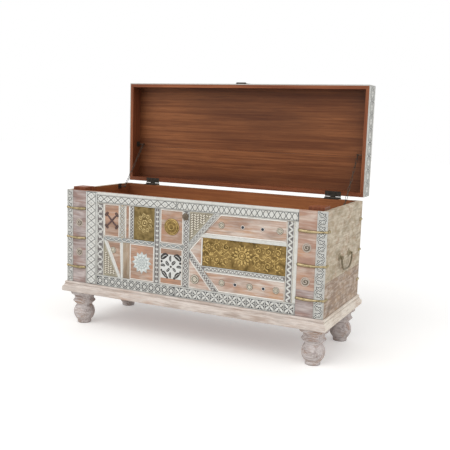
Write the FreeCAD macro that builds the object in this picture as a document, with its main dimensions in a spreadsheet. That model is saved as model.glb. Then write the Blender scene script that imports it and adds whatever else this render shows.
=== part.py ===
import FreeCAD, Part

import math
import os
import re

from FreeCAD import Placement, Rotation, Vector
from Sketcher import Constraint

# A low dowry chest with its lid open: a carved front, turned feet, iron hinges, stay chains and hasp.
# X runs along the front, Y to the back, Z up. The origin is on the floor, under the middle of the box
# that holds the chest with its lid open. All sizes are in millimetres, and angles in degrees.

# Driving sizes
SIZES = {
    # Carcass
    "body_width": 1070,
    "body_depth": 424,
    "carcass_height": 366,
    "end_thickness": 18,
    "board_thickness": 14,
    "facing": 4,
    "plank_joint": 0.6,
    "edge_break": 1.2,
    "floor_thickness": 16,
    "post_size": 57,
    "post_rise": 12,
    "post_drop": 82,
    # Plinth and feet
    "plinth_height": 40,
    "plinth_overhang": 15,
    "plinth_ledge": 30,
    "foot_height": 136,
    "foot_radius": 53,
    "foot_pad_radius": 27,
    "foot_ball_radius": 42,
    "foot_ball_height": 45,
    "foot_neck_radius": 30,
    "foot_inset_x": 45,
    "foot_inset_y": 52,
    "foot_block_width": 90,
    "tenon_width": 22,
    "tenon_length": 25,
    "tenon_play": 0.3,
    # Lid
    "rim_gap": 1,
    "lid_rail_height": 60,
    "lid_rail_thickness": 16,
    "lid_top_thickness": 16,
    "lid_facing": 3,
    "lid_lower_plank": 151,
    # Front field
    "left_strip_width": 28,
    "left_plank_width": 62,
    "right_strip_width": 36,
    "right_plank_width": 65,
    "corner_plank_thickness": 3,
    "border_height": 42,
    "border_thickness": 3.6,
    "lattice_width": 53,
    "left_scroll_width": 33,
    "scroll_width": 27,
    "edge_width": 13,
    "strip_thickness": 3.4,
    "panel_thickness": 2.2,
    "cross_panel_width": 72,
    "strip_a_width": 25,
    "slip_panel_width": 22,
    "strip_b_width": 18,
    "tall_plate_width": 91,
    "strip_c_width": 24,
    "boss_panel_width": 98,
    "centre_strip_width": 26,
    "right_field_width": 377,
    "lower_row_height": 139,
    "row_strip_height": 16,
    "upper_row_height": 127,
    "star_panel_width": 109,
    "reeded_width": 30,
    "light_bead_width": 10,
    "slant_bead_width": 12,
    "chevron_run": 124,
    "chevron_band": 26,
    "upper_panel_height": 77,
    "bead_height": 12,
    "long_plate_height": 104,
    "zigzag_height": 18,
    "lower_panel_height": 71,
    "long_plate_inset": 55,
    # Field ornaments
    "plate_thickness": 2.6,
    "medallion_radius": 26,
    "medallion_rise": 1,
    "boss_radius": 32,
    "boss_rise": 5,
    "star_radius": 44,
    "star_rise": 2.4,
    "pierced_width": 88,
    "pierced_height": 92,
    "pierced_rise": 2,
    "pierced_leaf": 30,
    "cross_arm": 38,
    "cross_rise": 3,
    "corner_rosette_radius": 17,
    "corner_rosette_rise": 4,
    "rosette_radius": 13,
    "rosette_rise": 3.2,
    "foot_rosette_radius": 17.5,
    "foot_rosette_height": 35,
    "slant_rosette_drop": 34,
    "slant_rosette_inset": 15.2,
    "stud_radius": 8,
    "stud_rise": 3,
    # Corner bars
    "bar_radius": 5.5,
    "bar_return": 28,
    "bar_pitch": 116.5,
    "bar_first_height": 64,
    # Hinges
    "hinge_inset": 123,
    "hinge_length": 64,
    "leaf_thickness": 1.5,
    "hinge_setback": 11,
    "barrel_radius": 5,
    "pin_radius": 2.5,
    "pin_play": 0.08,
    "knuckle_gap": 0.4,
    "leaf_relief": 6.5,
    # Stay chains
    "chain_offset": 44,
    "wire": 2.2,
    "link_inner": 4.4,
    "link_play": 0.3,
    "chain_gap": 0.5,
    "stay_box_setback": 89,
    "stay_box_drop": 9,
    "stay_lid_height": 170,
    "stay_lid_depth": 43,
    "stay_plate": 22,
    "stay_plate_thickness": 2,
    "stay_stud_radius": 1.9,
    "stay_stud_reach": 4.4,
    "stay_head_radius": 4,
    "stay_head_thickness": 1.6,
    # Hasp and staple
    "hasp_width": 30,
    "hasp_length": 78,
    "hasp_thickness": 2.5,
    "hasp_rise": 3.6,
    "hasp_barrel_radius": 3.2,
    "hasp_pin_radius": 1.6,
    "hasp_plate_width": 72,
    "hasp_plate_length": 44,
    "hasp_plate_thickness": 2,
    "hasp_axis_lift": 3.5,
    "hasp_ear": 5,
    "slot_width": 4.6,
    "slot_length": 12,
    "staple_drop": 63,
    "staple_boss_radius": 13.5,
    "staple_boss_rise": 2.6,
    "staple_bend": 3.6,
    "staple_leg": 9,
    "staple_wire": 1.3,
    # End handles
    "handle_height": 190,
    "handle_span": 124,
    "handle_drop": 48,
    "handle_rod": 3.5,
    "handle_standoff": 12,
    "handle_corner": 44,
    "handle_plate_radius": 15,
    "handle_plate_thickness": 2.5,
    "handle_lug_thickness": 5,
    "handle_lug_radius": 8,
    "handle_pin_radius": 3,
    "handle_pin_play": 0.1,
    "handle_rod_play": 0.3,
    "handle_pin_reach": 9,
    "overrun": 2,
}

# Counts and angles
END_PLANKS = 3
BARS = 3
HINGE_KNUCKLES = 3
LOWER_LINKS = 6
UPPER_LINKS = 5
STAR_POINTS = 12
CORNER_PETALS = 8
FIELD_PETALS = 4
ROD_SIDES = 6
FULL_TURN = 360
HALF_TURN = 180
QUARTER_TURN = 90
HALF_RIGHT_ANGLE = 45
TINY = 1e-6
PIPE_CORNERS = ["transformed", "mitred", "round"]
MITRED = PIPE_CORNERS.index("mitred")
LINK_CORNER_SHARE = 0.6
LUG_TOP_SHARE = 0.6
STAPLE_BOSS_SHARE = 0.76
BOSS_SIDES = 16
BEND_STEPS = 4
QUARTERS = [(1, 1), (-1, 1), (-1, -1), (1, -1)]

# Outlines as shares: across by the first size that each names, up by the second
PLINTH_PROFILE_SHARES = [
    (-0.85, 0.0),
    (-1.0, 0.06),
    (-1.0, 0.42),
    (-0.88, 0.47),
    (-0.5, 0.72, 0.5, 1),
    (-0.38, 0.74),
    (-0.38, 0.8),
    (-0.3, 0.97, 0.1, -1),
    (-0.2, 1.0),
]
FOOT_UPPER_SHARES = [
    (0.84, 0.645),
    (0.72, 0.73),
    (0.82, 0.86),
    (1.0, 0.89),
    (1.0, 1.0),
]
HASP_PLATE_SHARES = [
    (0.34, 0.0),
    (0.4, 0.26),
    (0.5, 0.42),
    (0.38, 0.64),
    (0.27, 0.7),
    (0.2, 0.88),
    (0.09, 0.86),
    (0.0, 1.0),
]
HASP_STRAP_SHARES = [
    (0.5, 0.0),
    (0.5, 0.24),
    (0.34, 0.34),
    (0.34, 0.62),
    (0.5, 0.72),
    (0.5, 0.9),
    (0.26, 0.98),
    (0.0, 1.0),
]
BOSS_TIER_SHARES = [(1, 0, 0.36), (0.78, 0.35, 0.4), (0.6, 0.74, 0.26)]
WAIST_SHARE = 0.82
STAR_WAIST_SHARE = 0.72
CROSS_ARM_SHARES = [
    (0.08, 0.08),
    (0.08, 0.62),
    (0.2, 0.74),
    (0.2, 0.94),
    (0.0, 0.84),
]
LEAF_SHARES = [
    (0.2, 0.2),
    (0.55, 0.25),
    (0.95, 0.6),
    (1.1, 1.1),
    (0.6, 0.95),
    (0.25, 0.55),
]
HALF_ROUND_SHARES = [
    (0.0, 1.0),
    (0.72, 0.7),
    (1.0, 0.0),
    (0.72, -0.7),
    (0.0, -1.0),
]

# Where the right field's buttons sit, as shares of the run from the chevron to the border
ROSETTE_SHARES = [(0.133, "upper"), (0.908, "upper"), (0.151, "lower"), (0.536, "lower"), (0.887, "lower")]
STUD_SHARES = [(0.422, "upper"), (0.685, "upper"), (0.337, "lower"), (0.721, "lower")]

# Heights and depths that many pieces share
PLINTH_TOP = "(foot_height + plinth_height)"
RIM = f"({PLINTH_TOP} + carcass_height)"
LID_HEIGHT = "(lid_rail_height + lid_top_thickness)"
FRONT = "(-(body_depth + hinge_setback + hasp_axis_lift + hasp_length - plinth_overhang) / 2)"
BOARD_FACE = f"({FRONT} + facing)"
PIN_Y = f"({FRONT} + body_depth + hinge_setback)"
PIN_Z = f"({RIM} + rim_gap / 2)"
LID_RIM = f"({PIN_Y} + rim_gap / 2)"
LID_FOOT = f"({PIN_Z} + hinge_setback)"
LID_HEAD = f"({LID_FOOT} + body_depth)"
END_FACE = "(body_width / 2)"
END_INNER = "(body_width / 2 - end_thickness)"
HINGE_CENTRES = ("(hinge_inset - body_width / 2)", "(body_width / 2 - hinge_inset)")

# Columns of the front field, left to right: together they fill it, each in proportion to its width
FIELD_LEFT = "(left_strip_width + left_plank_width - body_width / 2)"
FIELD_RIGHT = "(body_width / 2 - right_strip_width - right_plank_width)"
COLUMNS = [
    "lattice_width",
    "left_scroll_width",
    "cross_panel_width",
    "strip_a_width",
    "slip_panel_width",
    "strip_b_width",
    "tall_plate_width",
    "strip_c_width",
    "boss_panel_width",
    "centre_strip_width",
    "right_field_width",
    "scroll_width",
    "edge_width",
]
COLUMN_FIT = f"(({FIELD_RIGHT} - {FIELD_LEFT}) / ({' + '.join(COLUMNS)}))"


def column_edge(name):
    """Where the column of the named width begins."""
    before = COLUMNS[: COLUMNS.index(name)]
    return f"({FIELD_LEFT} + ({' + '.join(before)}) * {COLUMN_FIT})"


COL_SCROLL = column_edge("left_scroll_width")
COL_CROSS = column_edge("cross_panel_width")
COL_STRIP_A = column_edge("strip_a_width")
COL_SLIP = column_edge("slip_panel_width")
COL_STRIP_B = column_edge("strip_b_width")
COL_PLATE = column_edge("tall_plate_width")
COL_STRIP_C = column_edge("strip_c_width")
COL_BOSS = column_edge("boss_panel_width")
COL_CENTRE = column_edge("centre_strip_width")
COL_CHEVRON = column_edge("right_field_width")
COL_RIGHT = column_edge("scroll_width")
COL_EDGE = column_edge("edge_width")
COL_STAR = f"({COL_STRIP_C} - star_panel_width * {COLUMN_FIT})"
COL_REEDED = f"({COL_STAR} - reeded_width * {COLUMN_FIT})"
COL_BEAD = f"({COL_REEDED} - light_bead_width)"
COL_LONG_PLATE = f"({COL_CHEVRON} + long_plate_inset)"

# Rows of the front field, filled in the same way: upwards at the left, downwards at the right
ROW_BOTTOM = f"({PLINTH_TOP} + border_height)"
ROW_TOP = f"({RIM} - border_height)"
ROW_MID = f"(({ROW_BOTTOM} + {ROW_TOP}) / 2)"
LEFT_ROWS = ["lower_row_height", "row_strip_height", "upper_row_height"]
RIGHT_ROWS = ["upper_panel_height", "bead_height", "long_plate_height", "zigzag_height", "lower_panel_height"]


def row_edge(start, sign, rows, count):
    """Where a count of rows ends, up (1) or down (-1) from a height."""
    fit = f"(({ROW_TOP} - {ROW_BOTTOM}) / ({' + '.join(rows)}))"
    return f"({start} + {sign} * ({' + '.join(rows[:count])}) * {fit})"


ROW_STRIP = row_edge(ROW_BOTTOM, 1, LEFT_ROWS, 1)
ROW_UPPER = row_edge(ROW_BOTTOM, 1, LEFT_ROWS, 2)
ROW_BEAD = row_edge(ROW_TOP, -1, RIGHT_ROWS, 1)
ROW_PLATE_TOP = row_edge(ROW_TOP, -1, RIGHT_ROWS, 2)
ROW_PLATE = row_edge(ROW_TOP, -1, RIGHT_ROWS, 3)
ROW_ZIGZAG = row_edge(ROW_TOP, -1, RIGHT_ROWS, 4)

document = FreeCAD.newDocument("DowryChest")
sheet = document.addObject("Spreadsheet::Sheet", "Sizes")
for row, (size_name, size) in enumerate(SIZES.items(), start=1):
    sheet.set(f"A{row}", size_name)
    sheet.set(f"B{row}", str(size))
    sheet.setAlias(f"B{row}", size_name)
document.recompute()

nodes = []


def qualified(text):
    """Put the sheet's name before each size named in an expression."""
    return re.sub(r"[a-z_]+", lambda word: "Sizes." + word[0] if word[0] in SIZES else word[0], str(text))


def number(text):
    """The present value of an expression."""
    return float(sheet.evalExpression(qualified(text)))


def bind(item, path, text):
    """Drive one property of an object by an expression over the sheet."""
    item.setExpression(path, qualified(text))


def place(item, x=0, y=0, z=0, axis=None, angle=0):
    """Set an object's turn, and bind where its own origin lies."""
    turn = Rotation(axis, angle) if axis else Rotation()
    item.Placement = Placement(Vector(number(x), number(y), number(z)), turn)
    for letter, text in zip("xyz", (x, y, z)):
        bind(item, f".Placement.Base.{letter}", text)


def node(item, label):
    """Keep an object as a sub-part under its own name."""
    item.Label = label
    nodes.append(item)
    return item


def new_body(name):
    """A body that may hold several solids."""
    body = document.addObject("PartDesign::Body", name)
    body.AllowCompound = True
    return body


def new_sketch(body, role, offset=0):
    """A sketch on one of the body's own origin planes, moved along the plane's normal."""
    plane = next(item for item in body.Origin.OriginFeatures if item.Role == role)
    sketch = body.newObject("Sketcher::SketchObject", "Sketch")
    sketch.AttachmentSupport = [(plane, "")]
    sketch.MapMode = "FlatFace"
    if offset:
        bind(sketch, ".AttachmentOffset.Base.z", offset)
    return sketch


def pin_point(sketch, geometry, end, x, y):
    """Fix one point of a sketch at a pair of expressions."""
    for kind, axis, text in (("DistanceX", -2, x), ("DistanceY", -1, y)):
        if text == 0:
            sketch.addConstraint(Constraint("PointOnObject", geometry, end, axis))
            continue
        index = sketch.addConstraint(Constraint(kind, geometry, end, number(text)))
        bind(sketch, f"Constraints[{index}]", text)


def draw_outline(sketch, corners):
    """Close an outline through its corners.

    A corner is (x, y), or (x, y, radius, side) where an arc leaves it, centred left (1) or right (-1).
    """
    ends = []
    count = len(corners)
    for index, corner in enumerate(corners):
        following = corners[(index + 1) % count]
        start = Vector(number(corner[0]), number(corner[1]), 0)
        stop = Vector(number(following[0]), number(following[1]), 0)
        if len(corner) == 2:
            geometry = sketch.addGeometry(Part.LineSegment(start, stop), False)
            ends.append((geometry, 1, 2))
            continue
        radius, side = number(corner[2]), corner[3]
        chord = stop - start
        left = Vector(-chord.y, chord.x, 0).normalize()
        rise = math.sqrt(radius**2 - (chord.Length / 2) ** 2)
        centre = (start + stop) * 0.5 + left * (side * rise)
        first, last = (start, stop) if side > 0 else (stop, start)
        angles = [math.atan2(point.y - centre.y, point.x - centre.x) for point in (first, last)]
        if angles[1] < angles[0]:
            angles[1] += 2 * math.pi
        arc = Part.ArcOfCircle(Part.Circle(centre, Vector(0, 0, 1), radius), *angles)
        geometry = sketch.addGeometry(arc, False)
        ends.append((geometry, 1, 2) if side > 0 else (geometry, 2, 1))
        held = sketch.addConstraint(Constraint("Radius", geometry, radius))
        bind(sketch, f"Constraints[{held}]", corner[2])
    for index, (geometry, begin, _) in enumerate(ends):
        before, _, finish = ends[index - 1]
        sketch.addConstraint(Constraint("Coincident", before, finish, geometry, begin))
        pin_point(sketch, geometry, begin, corners[index][0], corners[index][1])


def draw_circle(sketch, x, y, radius):
    """A circle held by its radius and its centre."""
    centre = Vector(number(x), number(y), 0)
    geometry = sketch.addGeometry(Part.Circle(centre, Vector(0, 0, 1), number(radius)), False)
    held = sketch.addConstraint(Constraint("Radius", geometry, number(radius)))
    bind(sketch, f"Constraints[{held}]", radius)
    pin_point(sketch, geometry, 3, x, y)


def rectangle(left, bottom, right, top):
    """The four corners of a rectangle."""
    return [(left, bottom), (right, bottom), (right, top), (left, top)]


def from_shares(shares, across, up):
    """Corners worked out from shares of two sizes; an arc's radius follows the size up."""
    corners = []
    for share in shares:
        corner = (f"{share[0]} * {across}" if share[0] else 0, f"{share[1]} * {up}" if share[1] else 0)
        if len(share) > 2:
            corner += (f"{share[2]} * {up}", share[3])
        corners.append(corner)
    return corners


def arcs_from_previous(corners):
    """Give each arc to the corner that it leaves, where a table names it at the corner it reaches."""
    shifted = []
    for index, corner in enumerate(corners):
        following = corners[(index + 1) % len(corners)]
        shifted.append(corner[:2] + following[2:])
    return shifted


def pad(body, sketch, length, backwards=False):
    """Add material from a sketch along its normal, or against it."""
    feature = body.newObject("PartDesign::Pad", "Pad")
    feature.Profile = (sketch, [""])
    bind(feature, "Length", length)
    feature.Reversed = backwards
    return feature


def pocket(body, sketch, length, backwards=False):
    """Cut against a sketch's normal, or along it."""
    feature = body.newObject("PartDesign::Pocket", "Pocket")
    feature.Profile = (sketch, [""])
    bind(feature, "Length", length)
    feature.Reversed = backwards
    return feature


def revolve(body, sketch):
    """Turn a sketch a full turn about its own upright axis."""
    feature = body.newObject("PartDesign::Revolution", "Revolution")
    feature.Profile = (sketch, [""])
    feature.ReferenceAxis = (sketch, ["V_Axis"])
    feature.Angle = FULL_TURN
    return feature


def break_edges(body, feature, size, letter, level):
    """Chamfer the edges that lie at one level along the body's own x, y or z."""
    document.recompute()
    names = []
    for index, edge in enumerate(feature.Shape.Edges, start=1):
        if all(abs(getattr(vertex.Point, letter) - level) < TINY for vertex in edge.Vertexes):
            names.append(f"Edge{index}")
    chamfer = body.newObject("PartDesign::Chamfer", "Chamfer")
    chamfer.Base = (feature, names)
    bind(chamfer, "Size", size)
    return chamfer


def facing_body(name, outlines, thickness, back=BOARD_FACE, eased=True):
    """Flat pieces laid on a board: outlines in X and Z, backs at the given depth."""
    body = new_body(name)
    place(body, y=back)
    sketch = new_sketch(body, "XZ_Plane")
    for outline in outlines:
        draw_outline(sketch, outline)
    raised = pad(body, sketch, thickness)
    if eased:
        break_edges(body, raised, "edge_break / 2", "y", -number(thickness))
    return body


def facing_piece(label, outlines, thickness, eased=True):
    """Flat pieces on the front board, kept as one sub-part."""
    return node(facing_body(label, outlines, thickness, eased=eased), label)


def board(label, low, high, back):
    """An upright board between the ends, its back face at the given depth."""
    body = new_body(label)
    place(body, y=back)
    sketch = new_sketch(body, "XZ_Plane")
    draw_outline(sketch, rectangle(f"-{END_INNER}", low, END_INNER, high))
    pad(body, sketch, "board_thickness")
    return node(body, label)


# Plinth, floor and feet


def plinth_rail(name, length, angle, x, y):
    """A moulded rail with mitred ends, its outer side facing -Y before it is turned."""
    body = new_body(name)
    place(body, x=x, y=y, z="foot_height", axis=Vector(0, 0, 1), angle=angle)
    sketch = new_sketch(body, "YZ_Plane", f"-({length}) / 2 - plinth_overhang")
    profile = from_shares(PLINTH_PROFILE_SHARES, "plinth_overhang", "plinth_height")
    profile = arcs_from_previous(profile)
    profile += [("plinth_ledge", "plinth_height"), ("plinth_ledge", 0)]
    draw_outline(sketch, profile)
    pad(body, sketch, f"{length} + 2 * plinth_overhang")
    reach = f"({length} / 2 + plinth_overhang + overrun)"
    deep = "(plinth_ledge + overrun)"
    inner = f"({length} / 2 - {deep})"
    outer = "(-(plinth_overhang + overrun))"
    cuts = new_sketch(body, "XY_Plane")
    draw_outline(cuts, [(reach, outer), (reach, deep), (inner, deep)])
    draw_outline(cuts, [(f"-{reach}", outer), (f"-{inner}", deep), (f"-{reach}", deep)])
    pocket(body, cuts, "plinth_height", backwards=True)
    return body


def plinth():
    """Moulded rails round the foot of the carcass."""
    long_rails = [
        plinth_rail("FrontRail", "body_width", 0, 0, FRONT),
        plinth_rail("BackRail", "body_width", HALF_TURN, 0, f"{FRONT} + body_depth"),
    ]
    grouped("plinth_rails_long", long_rails)
    middle = f"{FRONT} + body_depth / 2"
    short_rails = [
        plinth_rail("RightRail", "body_depth", QUARTER_TURN, END_FACE, middle),
        plinth_rail("LeftRail", "body_depth", -QUARTER_TURN, f"-{END_FACE}", middle),
    ]
    grouped("plinth_rails_short", short_rails)


def chest_floor():
    """The bottom board, on the rails' ledge and between the carcass boards, cut round the posts."""
    body = new_body("FloorBoard")
    place(body, z=PLINTH_TOP)
    front, back = f"({BOARD_FACE} + board_thickness)", f"({FRONT} + body_depth - facing - board_thickness)"
    inset = f"({END_INNER} - post_size)"
    sketch = new_sketch(body, "XY_Plane")
    draw_outline(
        sketch,
        [
            (f"-{inset}", front),
            (inset, front),
            (inset, f"({front} + post_size)"),
            (END_INNER, f"({front} + post_size)"),
            (END_INNER, f"({back} - post_size)"),
            (inset, f"({back} - post_size)"),
            (inset, back),
            (f"-{inset}", back),
            (f"-{inset}", f"({back} - post_size)"),
            (f"-{END_INNER}", f"({back} - post_size)"),
            (f"-{END_INNER}", f"({front} + post_size)"),
            (f"-{inset}", f"({front} + post_size)"),
        ],
    )
    pad(body, sketch, "floor_thickness")
    node(body, "floor_board")


def foot_places():
    """Which pair each foot belongs to, and where its axis stands."""
    near, far = f"({FRONT} + foot_inset_y)", f"({FRONT} + body_depth - foot_inset_y)"
    for sign in (-1, 1):
        for end, depth in (("front", near), ("back", far)):
            yield end, f"({sign} * (body_width / 2 - foot_inset_x))", depth


def foot(x, y):
    """A turned foot: pad, ball, ring and disc, with a tenon on top."""
    body = new_body("Foot")
    place(body, x=x, y=y)
    sketch = new_sketch(body, "XZ_Plane")
    below = "sqrt(foot_ball_radius ^ 2 - foot_pad_radius ^ 2)"
    above = "sqrt(foot_ball_radius ^ 2 - foot_neck_radius ^ 2)"
    profile = [
        (0, 0),
        ("foot_pad_radius", 0),
        ("foot_pad_radius", f"(foot_ball_height - {below})", "foot_ball_radius", 1),
        ("foot_neck_radius", f"(foot_ball_height + {above})"),
    ]
    profile += from_shares(FOOT_UPPER_SHARES, "foot_radius", "foot_height")
    draw_outline(sketch, profile + [(0, "foot_height")])
    revolve(body, sketch)
    tenon = new_sketch(body, "XY_Plane", "foot_height")
    half = "(tenon_width / 2)"
    draw_outline(tenon, rectangle(f"-{half}", f"-{half}", half, half))
    pad(body, tenon, "tenon_length")
    return body


def feet():
    """Four feet, a pair at the front and a pair at the back."""
    for end in ("front", "back"):
        grouped(f"feet_{end}", [foot(x, y) for where, x, y in foot_places() if where == end])


def foot_blocks():
    """Blocks inside the plinth's corners, each with a mortise for a foot's tenon."""
    body = new_body("FootBlocks")
    place(body, z="foot_height")
    outer_x = "(body_width / 2 - plinth_ledge)"
    inner_x = f"({outer_x} - foot_block_width)"
    front = f"({FRONT} + plinth_ledge)"
    back = f"({FRONT} + body_depth - plinth_ledge)"
    sketch = new_sketch(body, "XY_Plane")
    for near, far in ((front, f"({front} + foot_block_width)"), (f"({back} - foot_block_width)", back)):
        draw_outline(sketch, rectangle(inner_x, near, outer_x, far))
        draw_outline(sketch, rectangle(f"-{outer_x}", near, f"-{inner_x}", far))
    pad(body, sketch, "plinth_height")
    mortises = new_sketch(body, "XY_Plane")
    half = "(tenon_width / 2 + tenon_play)"
    for _, x, y in foot_places():
        draw_outline(
            mortises, rectangle(f"({x} - {half})", f"({y} - {half})", f"({x} + {half})", f"({y} + {half})")
        )
    pocket(body, mortises, "tenon_length + overrun", backwards=True)
    node(body, "foot_blocks")


# Carcass


def end_planks(side, sign):
    """One end of three planks, their joints shown as fine gaps."""
    body = new_body("EndPlanks")
    place(body, x=END_INNER if sign > 0 else f"-{END_FACE}")
    sketch = new_sketch(body, "YZ_Plane")
    far = f"({FRONT} + body_depth - facing)"
    for index in range(END_PLANKS):
        low = f"({PLINTH_TOP} + {index} * carcass_height / {END_PLANKS})"
        high = f"({PLINTH_TOP} + {index + 1} * carcass_height / {END_PLANKS})"
        if index + 1 < END_PLANKS:
            high = f"({high} - plank_joint)"
        draw_outline(sketch, rectangle(BOARD_FACE, low, far, high))
    pad(body, sketch, "end_thickness")
    node(body, f"end_planks_{side}")


def hinge_notches(low, depth):
    """Outlines of the two recesses for a pair of hinge leaves, in X and Z."""
    half = "(hinge_length / 2 + plank_joint)"
    for centre in HINGE_CENTRES:
        yield rectangle(f"({centre} - {half})", low, f"({centre} + {half})", f"({low} + {depth})")


def carcass():
    """Front and back boards, the two ends, and posts in the inner corners."""
    inner = f"({BOARD_FACE} + board_thickness)"
    board("front_board", PLINTH_TOP, RIM, inner)
    back_face = f"({FRONT} + body_depth - facing)"
    back = board("back_board", PLINTH_TOP, RIM, back_face)
    notches = new_sketch(back, "XZ_Plane")
    for outline in hinge_notches(f"({RIM} - leaf_thickness)", "leaf_thickness"):
        draw_outline(notches, outline)
    pocket(back, notches, "board_thickness", backwards=True)
    end_planks("left", -1)
    end_planks("right", 1)
    front_posts = posts("FrontPosts", inner, "(carcass_height + post_rise)")
    back_inner = f"({back_face} - board_thickness - post_size)"
    back_posts = posts("BackPosts", back_inner, "(carcass_height - post_drop)")
    grouped("corner_posts", [front_posts, back_posts])


def posts(name, near, height):
    """A pair of square posts in the inner corners, their top edges broken."""
    body = new_body(name)
    place(body, z=PLINTH_TOP)
    sketch = new_sketch(body, "XY_Plane")
    inner = f"({END_INNER} - post_size)"
    draw_outline(sketch, rectangle(inner, near, END_INNER, f"({near} + post_size)"))
    draw_outline(sketch, rectangle(f"-{END_INNER}", near, f"-{inner}", f"({near} + post_size)"))
    post = pad(body, sketch, height)
    break_edges(body, post, "edge_break", "z", number(height))
    return body


# Facings of the front and corners


def corner_strips():
    """Carved strips at the four corners, over the ends of the end planks."""
    outlines = [
        rectangle(f"({END_FACE} - right_strip_width)", PLINTH_TOP, END_FACE, RIM),
        rectangle(f"-{END_FACE}", PLINTH_TOP, f"(left_strip_width - {END_FACE})", RIM),
    ]
    front = facing_body("FrontStrips", outlines, "facing")
    back = facing_body("BackStrips", outlines, "facing", back=f"{FRONT} + body_depth", eased=False)
    grouped("corner_strips", [front, back])


def corner_planks():
    """Plain planks between the corner strips and the field."""
    outlines = [
        rectangle(FIELD_RIGHT, PLINTH_TOP, f"({END_FACE} - right_strip_width)", RIM),
        rectangle(f"(left_strip_width - {END_FACE})", PLINTH_TOP, FIELD_LEFT, RIM),
    ]
    facing_piece("corner_planks", outlines, "corner_plank_thickness")


def borders():
    """The carved frame round the field."""
    level = [
        rectangle(COL_SCROLL, ROW_TOP, FIELD_RIGHT, RIM),
        rectangle(COL_SCROLL, PLINTH_TOP, FIELD_RIGHT, ROW_BOTTOM),
    ]
    facing_piece("borders_level", level, "border_thickness")
    lattice = rectangle(FIELD_LEFT, PLINTH_TOP, COL_SCROLL, RIM)
    facing_piece("border_lattice", [lattice], "border_thickness")
    left = rectangle(COL_SCROLL, ROW_BOTTOM, COL_CROSS, ROW_TOP)
    right = rectangle(COL_RIGHT, ROW_BOTTOM, COL_EDGE, ROW_TOP)
    facing_piece("border_scrolls", [left, right], "strip_thickness")
    facing_piece("border_edge", [rectangle(COL_EDGE, ROW_BOTTOM, FIELD_RIGHT, ROW_TOP)], "panel_thickness")


def chevron_inner(level):
    """Where the chevron's inner edge lies, at a height above or below the middle row."""
    return f"({COL_CHEVRON} + chevron_run * abs({level} - {ROW_MID}) / ({ROW_TOP} - {ROW_MID}))"


def chevron_band(sign):
    """One slanting band of the chevron, above (1) or below (-1) the middle row."""
    end = f"({COL_CHEVRON} + chevron_run)"
    reach = f"(({ROW_TOP} - {ROW_BOTTOM}) / 2)"
    rise = f"(chevron_band * {reach} / chevron_run)"
    heel = "(2 * edge_break)"
    corners = [
        (f"({COL_CHEVRON} + chevron_run * {heel} / {reach})", heel),
        (end, reach),
        (f"({end} - chevron_band)", reach),
        (COL_CHEVRON, rise),
        (COL_CHEVRON, heel),
    ]
    return [(x, f"({ROW_MID} + {sign} * {up})") for x, up in corners]


def dividers():
    """Carved strips between the panels, and the plain light beads."""
    full = [
        rectangle(COL_CENTRE, ROW_BOTTOM, COL_CHEVRON, ROW_TOP),
        rectangle(COL_STRIP_C, ROW_BOTTOM, COL_BOSS, ROW_TOP),
    ]
    facing_piece("strips_upright_long", full, "strip_thickness")
    short = [
        rectangle(COL_STRIP_A, ROW_UPPER, COL_SLIP, ROW_TOP),
        rectangle(COL_STRIP_B, ROW_UPPER, COL_PLATE, ROW_TOP),
    ]
    facing_piece("strips_upright_short", short, "strip_thickness")
    rows = [
        rectangle(COL_CROSS, ROW_STRIP, COL_STRIP_C, ROW_UPPER),
        rectangle(COL_BOSS, ROW_STRIP, COL_CENTRE, ROW_UPPER),
    ]
    facing_piece("strips_level", rows, "strip_thickness")
    facing_piece("strips_chevron", [chevron_band(1), chevron_band(-1)], "strip_thickness")
    zigzag = [
        (chevron_inner(ROW_ZIGZAG), ROW_ZIGZAG),
        (COL_RIGHT, ROW_ZIGZAG),
        (COL_RIGHT, ROW_PLATE),
        (chevron_inner(ROW_PLATE), ROW_PLATE),
    ]
    facing_piece("strip_zigzag", [zigzag], "strip_thickness")
    bead = [
        (chevron_inner(ROW_PLATE_TOP), ROW_PLATE_TOP),
        (COL_RIGHT, ROW_PLATE_TOP),
        (COL_RIGHT, ROW_BEAD),
        (chevron_inner(ROW_BEAD), ROW_BEAD),
    ]
    upright = rectangle(COL_BEAD, ROW_BOTTOM, COL_REEDED, ROW_STRIP)
    slant = [
        (f"({COL_BEAD} - slant_bead_width)", ROW_BOTTOM),
        (f"({COL_BEAD} - plank_joint)", ROW_BOTTOM),
        (f"({COL_CROSS} + slant_bead_width)", ROW_STRIP),
        (COL_CROSS, ROW_STRIP),
    ]
    facing_piece("plain_beads", [bead, upright, slant], "strip_thickness")


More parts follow.
